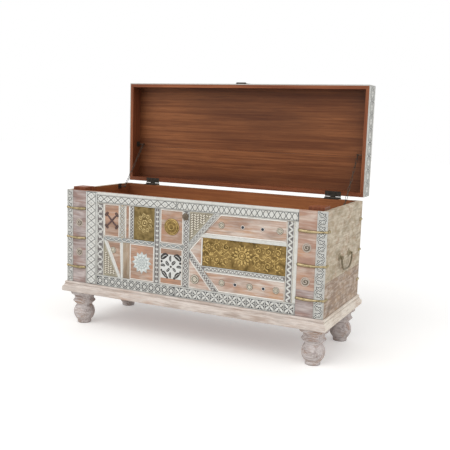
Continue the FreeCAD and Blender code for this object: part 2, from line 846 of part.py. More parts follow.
def panels():
    """The flat panels between the strips."""
    end = f"({COL_CHEVRON} + chevron_run)"
    rise = f"(chevron_band * ({ROW_TOP} - {ROW_MID}) / chevron_run)"
    left = [
        rectangle(COL_CROSS, ROW_UPPER, COL_STRIP_A, ROW_TOP),
        rectangle(COL_SLIP, ROW_UPPER, COL_STRIP_B, ROW_TOP),
        rectangle(COL_BOSS, ROW_UPPER, COL_CENTRE, ROW_TOP),
        rectangle(COL_STAR, ROW_BOTTOM, COL_STRIP_C, ROW_STRIP),
        rectangle(COL_BOSS, ROW_BOTTOM, COL_CENTRE, ROW_STRIP),
        [
            (COL_BEAD, ROW_BOTTOM),
            (COL_BEAD, ROW_STRIP),
            (f"({COL_CROSS} + slant_bead_width)", ROW_STRIP),
        ],
    ]
    facing_piece("panels_left", left, "panel_thickness", eased=False)
    upper = [
        (chevron_inner(ROW_BEAD), ROW_BEAD),
        (COL_RIGHT, ROW_BEAD),
        (COL_RIGHT, ROW_TOP),
        (end, ROW_TOP),
    ]
    lower = [
        (end, ROW_BOTTOM),
        (COL_RIGHT, ROW_BOTTOM),
        (COL_RIGHT, ROW_ZIGZAG),
        (chevron_inner(ROW_ZIGZAG), ROW_ZIGZAG),
    ]
    wedge = [
        (COL_CHEVRON, ROW_MID),
        (chevron_inner(ROW_PLATE), ROW_PLATE),
        (COL_LONG_PLATE, ROW_PLATE),
        (COL_LONG_PLATE, ROW_PLATE_TOP),
        (chevron_inner(ROW_PLATE_TOP), ROW_PLATE_TOP),
    ]
    foot = [
        (COL_CHEVRON, ROW_BOTTOM),
        (f"({end} - chevron_band)", ROW_BOTTOM),
        (COL_CHEVRON, f"({ROW_MID} - {rise})"),
    ]
    facing_piece("panels_right", [upper, lower, wedge, foot], "panel_thickness", eased=False)
    leaf = [
        (COL_CROSS, ROW_BOTTOM),
        (f"({COL_BEAD} - slant_bead_width)", ROW_BOTTOM),
        (COL_CROSS, ROW_STRIP),
    ]
    head = [
        (COL_CHEVRON, f"({ROW_MID} + {rise})"),
        (f"({end} - chevron_band)", ROW_TOP),
        (COL_CHEVRON, ROW_TOP),
    ]
    facing_piece("panels_carved", [leaf, head], "strip_thickness")
    reeded = rectangle(COL_REEDED, ROW_BOTTOM, COL_STAR, ROW_STRIP)
    facing_piece("panel_reeded", [reeded], "panel_thickness", eased=False)


def embossed_plate(label, half_wide, half_tall, x, z):
    """A brass sheet with a raised medallion in its middle."""
    body = new_body(label)
    place(body, x=x, y=BOARD_FACE, z=z)
    sketch = new_sketch(body, "XZ_Plane")
    draw_outline(sketch, rectangle(f"-{half_wide}", f"-{half_tall}", half_wide, half_tall))
    pad(body, sketch, "plate_thickness")
    medallion = new_sketch(body, "XZ_Plane", "plate_thickness - edge_break / 2")
    draw_outline(medallion, petal_outline(CORNER_PETALS, "medallion_radius", WAIST_SHARE))
    pad(body, medallion, "medallion_rise + edge_break / 2")
    node(body, label)


def petal_outline(petals, radius, waist):
    """Points that step between tips and waists about the origin."""
    corners = []
    for index in range(2 * petals):
        angle = math.radians(HALF_TURN * (index + 0.5) / petals)
        share = waist if index % 2 else 1
        across, up = share * math.cos(angle), share * math.sin(angle)
        corners.append((f"({across:.6f} * {radius})", f"({up:.6f} * {radius})"))
    return corners


def brass_plates():
    """The tall plate and the long plate of embossed brass."""
    embossed_plate(
        "brass_plate_tall",
        f"(({COL_STRIP_C} - {COL_PLATE}) / 2)",
        f"(({ROW_TOP} - {ROW_UPPER}) / 2)",
        f"({COL_PLATE} + {COL_STRIP_C}) / 2",
        f"({ROW_UPPER} + {ROW_TOP}) / 2",
    )
    embossed_plate(
        "brass_plate_long",
        f"(({COL_RIGHT} - {COL_LONG_PLATE}) / 2)",
        f"(({ROW_PLATE_TOP} - {ROW_PLATE}) / 2)",
        f"({COL_RIGHT} + {COL_LONG_PLATE}) / 2",
        f"({ROW_PLATE} + {ROW_PLATE_TOP}) / 2",
    )


def rosette(x, z, back, radius, rise, petals):
    """A carved flower: a low outer ring of petals under a smaller, taller one."""
    body = new_body("Rosette")
    place(body, x=x, y=back, z=z)
    outer = new_sketch(body, "XZ_Plane")
    draw_outline(outer, petal_outline(petals, f"({radius})", WAIST_SHARE))
    pad(body, outer, f"({rise}) / 2")
    inner = new_sketch(body, "XZ_Plane")
    draw_outline(inner, petal_outline(petals, f"({radius} / 2)", WAIST_SHARE))
    pad(body, inner, rise)
    return body


def ring_stud(x, z, back):
    """A small eight-sided stud with a sunk middle."""
    body = new_body("Stud")
    place(body, x=x, y=back, z=z)
    sketch = new_sketch(body, "XZ_Plane")
    draw_outline(sketch, petal_outline(FIELD_PETALS, "stud_radius", 1))
    pad(body, sketch, "stud_rise")
    sunk = new_sketch(body, "XZ_Plane", "stud_rise")
    draw_outline(sunk, petal_outline(FIELD_PETALS, "(stud_radius / 2)", 1))
    pocket(body, sunk, "stud_rise / 2")
    return body


def brass_boss(back):
    """A brass boss with a flat rim and a tapered dome, sixteen-sided."""
    body = new_body("BrassBoss")
    place(body, x=f"({COL_BOSS} + {COL_CENTRE}) / 2", y=back, z=f"({ROW_UPPER} + {ROW_TOP}) / 2")
    for share, start, rise in BOSS_TIER_SHARES:
        sketch = new_sketch(body, "XZ_Plane", f"{start} * boss_rise" if start else 0)
        draw_outline(sketch, petal_outline(CORNER_PETALS, f"({share} * boss_radius)", 1))
        tier = pad(body, sketch, f"{rise} * boss_rise")
        if start:
            tier.TaperAngle = -HALF_RIGHT_ANGLE
    node(body, "brass_boss")


def grouped(label, bodies):
    """Keep several bodies as the separate solids of one sub-part."""
    group = document.addObject("Part::Compound", label)
    group.Links = bodies
    return node(group, label)


def along_run(share, level):
    """A place at a height, as a share of the way from the chevron to the right border."""
    inner = chevron_inner(level)
    return f"({inner} + {share} * ({COL_RIGHT} - {inner}))"


def slant_edge(level):
    """Where the slanting bead's inner edge lies at a height in the lower left row."""
    reach = f"({COL_BEAD} - {COL_CROSS} - slant_bead_width)"
    return f"({COL_BEAD} - {reach} * ({level} - {ROW_BOTTOM}) / ({ROW_STRIP} - {ROW_BOTTOM}))"


def ornaments():
    """Rosettes, studs, inlays and irons on the panels."""
    panel_face = f"({BOARD_FACE} - panel_thickness)"
    plank_face = f"({BOARD_FACE} - corner_plank_thickness)"
    corners = []
    for across in (f"({FIELD_LEFT} - left_plank_width / 2)", f"({FIELD_RIGHT} + right_plank_width / 2)"):
        for index in range(1, BARS):
            height = f"{PLINTH_TOP} + bar_first_height + ({index} - 1 / 2) * bar_pitch"
            size = ("corner_rosette_radius", "corner_rosette_rise")
            corners.append(rosette(across, height, plank_face, *size, CORNER_PETALS))
    grouped("corner_rosettes", corners)
    levels = {"upper": f"(({ROW_BEAD} + {ROW_TOP}) / 2)", "lower": f"(({ROW_BOTTOM} + {ROW_ZIGZAG}) / 2)"}
    field = []
    for share, level in ROSETTE_SHARES:
        across = along_run(share, levels[level])
        size = ("rosette_radius", "rosette_rise")
        field.append(rosette(across, levels[level], panel_face, *size, FIELD_PETALS))
    across, height = f"{COL_CHEVRON} + chevron_band", f"{ROW_BOTTOM} + foot_rosette_height"
    field.append(rosette(across, height, panel_face, "foot_rosette_radius", "rosette_rise", CORNER_PETALS))
    height = f"({ROW_STRIP} - slant_rosette_drop)"
    across = f"{slant_edge(height)} + slant_rosette_inset"
    field.append(rosette(across, height, panel_face, "rosette_radius", "rosette_rise", CORNER_PETALS))
    grouped("field_rosettes", field)
    studs = []
    for share, level in STUD_SHARES:
        studs.append(ring_stud(along_run(share, levels[level]), levels[level], panel_face))
    grouped("ring_studs", studs)
    brass_boss(panel_face)
    star_inlay(panel_face)
    pierced_plate(panel_face)
    iron_cross(panel_face)


def star_inlay(back):
    """A pointed star let onto its panel."""
    body = new_body("StarInlay")
    place(body, x=f"({COL_STAR} + {COL_STRIP_C}) / 2", y=back, z=f"({ROW_BOTTOM} + {ROW_STRIP}) / 2")
    sketch = new_sketch(body, "XZ_Plane")
    draw_outline(sketch, petal_outline(STAR_POINTS, "star_radius", STAR_WAIST_SHARE))
    pad(body, sketch, "star_rise")
    node(body, "star_inlay")


def pierced_plate(back):
    """A plate pierced by four pointed leaves."""
    body = new_body("PiercedPlate")
    place(body, x=f"({COL_BOSS} + {COL_CENTRE}) / 2", y=back, z=f"({ROW_BOTTOM} + {ROW_STRIP}) / 2")
    sketch = new_sketch(body, "XZ_Plane")
    half_wide, half_tall = f"(pierced_width * {COLUMN_FIT} / 2)", "(pierced_height / 2)"
    draw_outline(sketch, rectangle(f"-{half_wide}", f"-{half_tall}", half_wide, half_tall))
    for across, up in QUARTERS:
        leaf = [(f"{across * x} * pierced_leaf", f"{up * y} * pierced_leaf") for x, y in LEAF_SHARES]
        draw_outline(sketch, leaf)
    pad(body, sketch, "pierced_rise")
    node(body, "pierced_plate")


def iron_cross(back):
    """Four arms set crosswise, each flared and forked at its end."""
    body = new_body("IronCross")
    turn = Vector(0, 1, 0)
    middle = (f"({COL_CROSS} + {COL_STRIP_A}) / 2", f"({ROW_UPPER} + {ROW_TOP}) / 2")
    place(body, x=middle[0], y=back, z=middle[1], axis=turn, angle=HALF_RIGHT_ANGLE)
    sketch = new_sketch(body, "XZ_Plane")
    arm = CROSS_ARM_SHARES + [(-x, y) for x, y in CROSS_ARM_SHARES[-2:0:-1]]
    corners = []
    for cosine, sine in ((1, 0), (0, 1), (-1, 0), (0, -1)):
        for x, y in arm:
            across, up = x * cosine - y * sine, y * cosine + x * sine
            corners.append(tuple(f"{value} * cross_arm" if value else 0 for value in (across, up)))
    draw_outline(sketch, corners)
    pad(body, sketch, "cross_rise")
    node(body, "iron_cross")


def corner_bars():
    """Half-round brass bars that wrap each corner, three to a corner."""
    bars = []
    for face, outward in ((f"({BOARD_FACE} - facing)", -1), (f"({FRONT} + body_depth)", 1)):
        for sign in (-1, 1):
            for index in range(BARS):
                bars.append(corner_bar(face, outward, sign, index))
    grouped("corner_bars", bars)


def corner_bar(face, outward, sign, index):
    """One bar: a leg across the face and a return on the end, meeting in a mitre."""
    bar = document.addObject("Part::Feature", "CornerBar")
    corner = Vector(sign * number(END_FACE), number(face), 0)
    start = Vector(number(FIELD_LEFT if sign < 0 else FIELD_RIGHT), corner.y, 0)
    stop = corner - Vector(0, outward * number("bar_return"), 0)
    section = []
    for out, up in HALF_ROUND_SHARES:
        section.append(start + Vector(0, outward * out, up) * number("bar_radius"))
    outline = Part.makePolygon(section + section[:1])
    bar.Shape = Part.makePolygon([start, corner, stop]).makePipeShell([outline], True, False, MITRED)
    place(bar, z=f"({PLINTH_TOP} + bar_first_height + {index} * bar_pitch)")
    return bar


# Lid, drawn open


def lid():
    """Mitred rails round a top of two planks, with carved facings outside."""
    outer = f"({END_FACE} - lid_facing)"
    inner = f"({END_FACE} - lid_rail_thickness)"
    low, high = LID_FOOT, f"({LID_HEAD} - lid_facing)"
    low_in = f"({LID_FOOT} + lid_rail_thickness)"
    high_in = f"({LID_HEAD} - lid_rail_thickness)"
    rails = {
        "lid_rail_front": [(f"-{inner}", high_in), (inner, high_in), (outer, high), (f"-{outer}", high)],
        "lid_rail_back": [(f"-{outer}", low), (outer, low), (inner, low_in), (f"-{inner}", low_in)],
        "lid_rail_right": [(inner, low_in), (outer, low), (outer, high), (inner, high_in)],
    }
    rails["lid_rail_left"] = [(f"-{x}", z) for x, z in rails["lid_rail_right"][::-1]]
    for label, outline in rails.items():
        body = new_body(label)
        place(body, y=LID_RIM)
        sketch = new_sketch(body, "XZ_Plane")
        draw_outline(sketch, outline)
        pad(body, sketch, "lid_rail_height", backwards=True)
        if label == "lid_rail_back":
            notches = new_sketch(body, "XZ_Plane")
            for notch in hinge_notches(low, "lid_rail_thickness"):
                draw_outline(notches, notch)
            pocket(body, notches, "leaf_thickness")
        node(body, label)
    top = new_body("LidTop")
    place(top, y=f"{LID_RIM} + lid_rail_height")
    sketch = new_sketch(top, "XZ_Plane")
    seam = f"({LID_FOOT} + lid_lower_plank)"
    draw_outline(sketch, rectangle(f"-{outer}", low, outer, f"({seam} - plank_joint)"))
    draw_outline(sketch, rectangle(f"-{outer}", seam, outer, high))
    planks = pad(top, sketch, "lid_top_thickness", backwards=True)
    break_edges(top, planks, "edge_break", "y", number("lid_top_thickness"))
    node(top, "lid_top_planks")
    facings = new_body("LidFacings")
    place(facings, y=LID_RIM)
    sketch = new_sketch(facings, "XZ_Plane")
    draw_outline(sketch, rectangle(f"-{END_FACE}", high, END_FACE, LID_HEAD))
    stop = f"({high} - plank_joint)"
    draw_outline(sketch, rectangle(outer, low, END_FACE, stop))
    draw_outline(sketch, rectangle(f"-{END_FACE}", low, f"-{outer}", stop))
    pad(facings, sketch, LID_HEIGHT, backwards=True)
    node(facings, "lid_facings")


# Hinges


def hinge_leaf(name, sign, first):
    """A leaf and its knuckles about an X axis at the origin; the leaf lies towards -Y, above or below."""
    body = new_body(name)
    pitch = f"(hinge_length / {HINGE_KNUCKLES})"
    inner = "(-(hinge_setback + facing + board_thickness))"
    if sign > 0:
        inner = "(-(hinge_setback + lid_rail_thickness))"
    faces = [f"({sign} * rim_gap / 2)", f"({sign} * (rim_gap / 2 + leaf_thickness))"]
    low, high = faces[::sign]
    plate = new_sketch(body, "YZ_Plane", "-hinge_length / 2")
    draw_outline(plate, rectangle(inner, low, "(-leaf_relief)", high))
    pad(body, plate, "hinge_length")
    for index in range(first, HINGE_KNUCKLES, 2):
        start = f"(-hinge_length / 2 + {index} * {pitch} + knuckle_gap / 2)"
        arm = new_sketch(body, "YZ_Plane", start)
        draw_outline(arm, rectangle("(-leaf_relief - edge_break)", low, "(-pin_radius - pin_play)", high))
        pad(body, arm, f"{pitch} - knuckle_gap")
        barrel = new_sketch(body, "YZ_Plane", start)
        draw_circle(barrel, 0, 0, "barrel_radius")
        pad(body, barrel, f"{pitch} - knuckle_gap")
    bore = new_sketch(body, "YZ_Plane", "-hinge_length / 2 - overrun")
    draw_circle(bore, 0, 0, "pin_radius + pin_play")
    pocket(body, bore, "hinge_length + 2 * overrun", backwards=True)
    return body


def hinges():
    """Two butt hinges: leaves let into the rims, the pin behind the back."""
    box_leaves, lid_leaves, pins = [], [], []
    for centre in HINGE_CENTRES:
        leaf = hinge_leaf("BoxLeaf", -1, 0)
        place(leaf, x=centre, y=PIN_Y, z=PIN_Z)
        box_leaves.append(leaf)
        leaf = hinge_leaf("LidLeaf", 1, 1)
        place(leaf, x=centre, y=PIN_Y, z=PIN_Z, axis=Vector(1, 0, 0), angle=-QUARTER_TURN)
        lid_leaves.append(leaf)
        pin = new_body("HingePin")
        place(pin, x=centre, y=PIN_Y, z=PIN_Z)
        shank = new_sketch(pin, "YZ_Plane", "-hinge_length / 2 - edge_break")
        draw_circle(shank, 0, 0, "pin_radius")
        pad(pin, shank, "hinge_length + 2 * edge_break")
        pins.append(pin)
    grouped("hinge_leaves_box", box_leaves)
    grouped("hinge_leaves_lid", lid_leaves)
    grouped("hinge_pins", pins)


# Stay chains

STAY_BOX_Y = f"({FRONT} + body_depth - stay_box_setback)"
STAY_BOX_Z = f"({RIM} - stay_box_drop)"
STAY_LID_Y = f"({LID_RIM} + stay_lid_depth)"
STAY_LID_Z = f"({PIN_Z} + stay_lid_height)"
CHAIN_X = "(body_width / 2 - chain_offset)"


def stay_stud(name, wall, sign, y, z):
    """A square plate with a round stud and a six-sided head along X, on which an end link turns."""
    body = new_body(name)
    place(body, x=f"{sign} * ({wall})", y=y, z=z, axis=Vector(0, 1, 0), angle=-QUARTER_TURN * sign)
    plate = new_sketch(body, "XY_Plane")
    half = "(stay_plate / 2)"
    draw_outline(plate, rectangle(f"-{half}", f"-{half}", half, half))
    pad(body, plate, "stay_plate_thickness")
    reach = f"({wall} - {CHAIN_X} + stay_stud_reach - stay_head_thickness)"
    shank = new_sketch(body, "XY_Plane", "stay_plate_thickness")
    draw_circle(shank, 0, 0, "stay_stud_radius")
    pad(body, shank, f"{reach} - stay_plate_thickness")
    head = new_sketch(body, "XY_Plane", reach)
    draw_outline(head, petal_outline(ROD_SIDES // 2, "stay_head_radius", 1))
    pad(body, head, "stay_head_thickness")
    return body


def ring_of_points(radius, sides, centre, across, up):
    """A closed polygon about a centre, in the plane of two directions."""
    points = []
    for index in range(sides):
        angle = 2 * math.pi * index / sides
        points.append(centre + across * (radius * math.sin(angle)) + up * (radius * math.cos(angle)))
    return Part.makePolygon(points + points[:1])


def chain_link(pitch, centre, turned):
    """A closed link of six-sided rod, its length along Z, in the YZ plane or turned across it."""
    rod = number("wire") / 2
    wide = number("link_inner") / 2 + rod
    tall = (pitch + number("link_play")) / 2 + rod
    cut = LINK_CORNER_SHARE * wide
    quarter = [(wide, 0), (wide, tall - cut), (wide - cut, tall)]
    route = quarter + [(-y, z) for y, z in quarter[:0:-1]]
    route += [(-y, -z) for y, z in quarter] + [(y, -z) for y, z in quarter[:0:-1]]
    points = [Vector(0, y, z) for y, z in route]
    section = ring_of_points(rod, ROD_SIDES, points[0], Vector(1, 0, 0), Vector(0, 1, 0))
    link = Part.makePolygon(points + points[:1]).makePipeShell([section], True, False, MITRED)
    if turned:
        link.rotate(Vector(0, 0, 0), Vector(0, 0, 1), QUARTER_TURN)
    link.translate(Vector(0, 0, centre))
    return link


def chain_run():
    """The stay's slope in degrees, its length and the links' pitch."""
    across = number(STAY_LID_Y) - number(STAY_BOX_Y)
    up = number(STAY_LID_Z) - number(STAY_BOX_Z)
    length = math.hypot(across, up)
    ends = 2 * (number("link_play") - number("link_inner") / 2 + number("wire"))
    pitch = (length - number("chain_gap") - ends) / (LOWER_LINKS + UPPER_LINKS)
    return math.degrees(math.atan2(up, across)), pitch


def strand(label, sign, y, z, count, turn):
    """Interlocked links along local Z from the stud at the origin, the end link round the stud."""
    _, pitch = chain_run()
    first = (pitch + number("link_play")) / 2 - number("link_inner") / 2
    links = [chain_link(pitch, first + index * pitch, index % 2 == 1) for index in range(count)]
    body = document.addObject("Part::Feature", label)
    body.Shape = Part.makeCompound(links)
    place(body, x=f"{sign} * {CHAIN_X}", y=y, z=z, axis=Vector(1, 0, 0), angle=turn)
    node(body, label)


def stay_chains():
    """Two chains of interlocked links, each in a lower run from the box and an upper run from the lid."""
    slope, _ = chain_run()
    box_studs, lid_studs = [], []
    for side, sign in (("left", -1), ("right", 1)):
        box_studs.append(stay_stud("BoxStud", END_INNER, sign, STAY_BOX_Y, STAY_BOX_Z))
        lid_wall = "(body_width / 2 - lid_rail_thickness)"
        lid_studs.append(stay_stud("LidStud", lid_wall, sign, STAY_LID_Y, STAY_LID_Z))
        lean = slope - QUARTER_TURN
        strand(f"chain_lower_{side}", sign, STAY_BOX_Y, STAY_BOX_Z, LOWER_LINKS, lean)
        strand(f"chain_upper_{side}", sign, STAY_LID_Y, STAY_LID_Z, UPPER_LINKS, lean + HALF_TURN)
    grouped("stay_studs_box", box_studs)
    grouped("stay_studs_lid", lid_studs)


# Hasp and staple

HASP_Y = f"({LID_RIM} + hasp_axis_lift - rim_gap / 2)"
HASP_Z = f"({LID_HEAD} + hasp_rise)"


def mirrored_outline(shares, across, up):
    """A closed outline from shares that give its right side, bottom first."""
    right = from_shares(shares, across, up)
    left = [(f"-{corner[0]}", corner[1]) for corner in right if corner[0] != 0]
    return right + left[::-1]


def hasp():
    """A hasp on the lid's front edge, folded back over its plate; its axis is along X."""
    plate = new_body("HaspPlate")
    place(plate, y=HASP_Y, z=LID_HEAD)
    sketch = new_sketch(plate, "XY_Plane")
    draw_outline(sketch, mirrored_outline(HASP_PLATE_SHARES, "hasp_plate_width", "hasp_plate_length"))
    pad(plate, sketch, "hasp_plate_thickness")
    inner, outer = "(hasp_width / 2 + knuckle_gap)", "(hasp_width / 2 + knuckle_gap + hasp_ear)"
    notch = new_sketch(plate, "XY_Plane")
    clear = "(hasp_barrel_radius + knuckle_gap)"
    draw_outline(notch, rectangle(f"-{inner}", f"-{clear}", inner, clear))
    pocket(plate, notch, "hasp_plate_thickness", backwards=True)
    for start in (inner, f"-{outer}"):
        ear = new_sketch(plate, "YZ_Plane", start)
        knuckle_outline(ear, "hasp_barrel_radius", "hasp_rise")
        pad(plate, ear, "hasp_ear")
    pin = new_sketch(plate, "YZ_Plane", f"-{outer}")
    draw_circle(pin, 0, "hasp_rise", "hasp_pin_radius")
    pad(plate, pin, f"2 * {outer}")
    node(plate, "hasp_plate")
    strap = new_body("HaspStrap")
    place(strap, y=HASP_Y, z=HASP_Z)
    sketch = new_sketch(strap, "XY_Plane", "-hasp_thickness / 2")
    draw_outline(sketch, mirrored_outline(HASP_STRAP_SHARES, "hasp_width", "hasp_length"))
    pad(strap, sketch, "hasp_thickness")
    barrel = new_sketch(strap, "YZ_Plane", "-hasp_width / 2")
    draw_circle(barrel, 0, 0, "hasp_barrel_radius")
    pad(strap, barrel, "hasp_width")
    bore = new_sketch(strap, "YZ_Plane", "-hasp_width / 2 - overrun")
    draw_circle(bore, 0, 0, "hasp_pin_radius + pin_play")
    pocket(strap, bore, "hasp_width + 2 * overrun", backwards=True)
    slot = new_sketch(strap, "XY_Plane", "-hasp_thickness")
    reach = "(rim_gap / 2 + hasp_axis_lift + staple_drop)"
    near, far = f"({reach} - slot_length / 2)", f"({reach} + slot_length / 2)"
    draw_outline(slot, rectangle("(-slot_width / 2)", near, "(slot_width / 2)", far))
    pocket(strap, slot, "2 * hasp_thickness", backwards=True)
    node(strap, "hasp_strap")


def knuckle_outline(sketch, radius, height):
    """A knuckle's section: round about a pin at the given height, with a foot down to its plate."""
    corners = [
        (f"(-{radius})", 0),
        (radius, 0),
        (radius, height, radius, 1),
        (0, f"({height} + {radius})", radius, 1),
        (f"(-{radius})", height),
    ]
    draw_outline(sketch, corners)


def staple():
    """A low boss on the front with a padlock staple of bent rod, below the hasp."""
    body = document.addObject("Part::Feature", "Staple")
    wire, bend, leg = number("staple_wire"), number("staple_bend"), number("staple_leg")
    radius = number("staple_boss_radius")
    rise = number("staple_boss_rise")
    tiers = []
    for share, height in ((1, rise / 2), (STAPLE_BOSS_SHARE, rise)):
        outline = ring_of_points(radius * share, BOSS_SIDES, Vector(), Vector(1, 0, 0), Vector(0, 0, 1))
        tiers.append(Part.Face(outline).extrude(Vector(0, -height, 0)))
    cut = bend / 2
    half = [(0, bend), (-leg, bend), (-leg - cut, bend - cut / 2), (-leg - bend, cut)]
    points = [Vector(0, y, z) for y, z in half + [(y, -z) for y, z in half[::-1]]]
    section = ring_of_points(wire, ROD_SIDES, points[0], Vector(1, 0, 0), Vector(0, 0, 1))
    loop = Part.makePolygon(points).makePipeShell([section], True, False, MITRED)
    body.Shape = tiers[0].fuse([tiers[1], loop])
    place(body, y=f"({BOARD_FACE} - strip_thickness)", z=f"({RIM} - staple_drop)")
    node(body, "staple")


# End handles


def bail(label, sign, y, z):
    """A drop handle of bent six-sided rod with round pins turned in to its lugs, on an axis along Y."""
    rod = number("handle_rod")
    half, drop, bend = number("handle_span") / 2, number("handle_drop"), number("handle_corner")
    side = [Vector(0, half, rod)]
    for step in range(BEND_STEPS + 1):
        angle = math.radians(QUARTER_TURN * step / BEND_STEPS)
        side.append(Vector(0, half - bend + bend * math.cos(angle), bend - drop - bend * math.sin(angle)))
    points = side + [Vector(0, -point.y, point.z) for point in side[::-1]]
    section = ring_of_points(rod, ROD_SIDES, points[0], Vector(1, 0, 0), Vector(0, 1, 0))
    loop = Part.makePolygon(points).makePipeShell([section], True, False, MITRED)
    radius, reach = number("handle_pin_radius"), number("handle_pin_reach")
    pins = []
    for side in (-1, 1):
        pins.append(Part.makeCylinder(radius, reach, Vector(0, side * half, 0), Vector(0, -side, 0)))
    body = document.addObject("Part::Feature", label)
    body.Shape = loop.fuse(pins)
    place(body, x=f"{sign} * ({END_FACE} + handle_standoff)", y=y, z=z)
    node(body, label)


def handle_lug(sign, side, y, z):
    """One scalloped plate on an end with a lug that is bored for a bail's pin."""
    body = new_body("HandleLug")
    inward = "(handle_span / 2 - handle_rod - handle_lug_thickness / 2 - handle_rod_play)"
    place(
        body,
        x=f"{sign} * {END_FACE}",
        y=f"{y} + {side} * {inward}",
        z=z,
        axis=Vector(0, 1, 0),
        angle=QUARTER_TURN * sign,
    )
    plate = new_sketch(body, "XY_Plane")
    draw_outline(plate, petal_outline(CORNER_PETALS, "handle_plate_radius", WAIST_SHARE))
    pad(body, plate, "handle_plate_thickness")
    lug = new_sketch(body, "XZ_Plane", "-handle_lug_thickness / 2")
    wide, narrow = "handle_lug_radius", f"({LUG_TOP_SHARE} * handle_lug_radius)"
    low, high = "(handle_plate_thickness / 2)", "(handle_standoff + handle_lug_radius / 2)"
    draw_outline(lug, [(f"-{wide}", low), (wide, low), (narrow, high), (f"-{narrow}", high)])
    pad(body, lug, "handle_lug_thickness")
    bore = new_sketch(body, "XZ_Plane", "-handle_lug_thickness")
    draw_circle(bore, 0, "handle_standoff", "handle_pin_radius + handle_pin_play")
    pocket(body, bore, "2 * handle_lug_thickness", backwards=True)
    return body


def handles():
    """A drop handle on each end, hung from two lugs."""
    y = f"({FRONT} + body_depth / 2)"
    z = f"({PLINTH_TOP} + handle_height)"
    bail("handle_bail_left", -1, y, z)
    bail("handle_bail_right", 1, y, z)
    lugs = []
    for sign in (-1, 1):
        for side in (-1, 1):
            lugs.append(handle_lug(sign, side, y, z))
    grouped("handle_lugs", lugs)


def write_nodes():
    """Check every object, then write each sub-part to its own file."""
    document.recompute()
    broken = [item.Label for item in document.Objects if {"Invalid", "Error"} & set(item.State)]
    if broken:
        raise RuntimeError(f"failed objects: {broken}")
    for item in nodes:
        if item.Shape.isNull() or not item.Shape.isValid():
            raise RuntimeError(f"no valid shape: {item.Label}")
    os.makedirs("parts", exist_ok=True)
    for item in nodes:
        item.Shape.exportStep(os.path.join("parts", f"{item.Label}.step"))
    print(len(nodes), "nodes written")


plinth()
chest_floor()
foot_blocks()
feet()
carcass()
corner_strips()
corner_planks()
borders()
dividers()
panels()
brass_plates()
ornaments()
corner_bars()
lid()
hinges()
stay_chains()
hasp()
staple()
handles()
write_nodes()
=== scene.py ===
"""A carved dowry chest with its lid open, dressed over its frame.

The front is a field of reused carvings, brass sheets and pinkish panels under a rubbed white wash. The inside is
oiled red-brown hardwood, and the fittings are forged iron and worn brass.
"""
import logging
import math
from collections.abc import Iterable, Sequence
from dataclasses import dataclass, field, replace
from enum import Enum

import bpy
import numpy as np
from mathutils import Matrix, Vector


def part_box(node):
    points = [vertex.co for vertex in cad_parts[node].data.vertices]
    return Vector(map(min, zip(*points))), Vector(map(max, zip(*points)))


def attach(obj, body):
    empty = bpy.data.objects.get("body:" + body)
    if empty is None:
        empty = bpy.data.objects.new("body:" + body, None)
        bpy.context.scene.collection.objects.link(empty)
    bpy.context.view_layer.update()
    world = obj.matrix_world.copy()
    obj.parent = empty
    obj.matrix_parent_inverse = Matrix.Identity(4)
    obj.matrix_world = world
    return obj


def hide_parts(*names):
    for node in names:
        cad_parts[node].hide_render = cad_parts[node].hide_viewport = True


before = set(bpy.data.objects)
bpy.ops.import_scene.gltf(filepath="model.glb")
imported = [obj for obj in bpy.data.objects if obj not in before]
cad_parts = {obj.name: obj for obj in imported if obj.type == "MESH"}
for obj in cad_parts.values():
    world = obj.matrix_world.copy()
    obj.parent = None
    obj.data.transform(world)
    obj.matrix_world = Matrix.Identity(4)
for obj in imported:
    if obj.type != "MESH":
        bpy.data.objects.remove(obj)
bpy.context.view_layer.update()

MM = 0.001
FULL_TURN = 2 * math.pi
QUARTER_TURN = math.pi / 2
# In millimetres: how far a carved form sinks into what carries it, and how high the floor of its cuts lies.
SINK = 0.4
FLOOR_RISE = 0.14
# In millimetres: the height of the lowest cut, and the step to the next, so that few cuts lie in one plane.
CUT_RISE = 0.22
CUT_STEP = 0.012
CUT_LEVELS = 11
# How well a face looks to a side, as a cosine, to count as lying on it.
FACING = 0.999
# Twice the square millimetres by which a corner has to leave a straight run to be kept.
LEAST_CORNER = 0.05
LOG = logging.getLogger("chest")

Point = tuple[float, float]
Outline = list[Point]
Socket = bpy.types.NodeSocket
Tree = bpy.types.NodeTree


# Colours and nodes


def linear(colour: str) -> tuple[float, float, float, float]:
    """The linear colour that a shader takes, from six hex digits of sRGB.

    Args:
        colour: The digits.

    Returns:
        Red, green, blue and an alpha of one.
    """
    values = [int(colour[start : start + 2], 16) / 255 for start in (0, 2, 4)]
    return (*(v / 12.92 if v <= 0.04045 else ((v + 0.055) / 1.055) ** 2.4 for v in values), 1.0)


def add_node(tree: Tree, kind: str, inputs: dict | None = None, **settings: object) -> bpy.types.Node:
    """Add one shader node with its settings and links.

    Args:
        tree: The node tree.
        kind: Blender's name of the node type.
        inputs: Input name or number to a value or to a socket that is linked there.
        settings: Properties of the node.

    Returns:
        The new node.
    """
    node = tree.nodes.new(kind)
    for name, value in settings.items():
        setattr(node, name, value)
    for name, value in (inputs or {}).items():
        socket = node.inputs[name]
        if isinstance(value, Socket):
            tree.links.new(value, socket)
        else:
            socket.default_value = value
    return node


def emptied(owner: bpy.types.Material | bpy.types.World) -> Tree:
    """Give a new material or world an empty node tree.

    Args:
        owner: The material or world.

    Returns:
        Its node tree.
    """
    owner.use_nodes = True
    owner.node_tree.nodes.clear()
    return owner.node_tree


class Grain(Enum):
    """The direction that a board's fibres run in."""

    ALONG_X = 0
    ALONG_Y = 1
    ALONG_Z = 2


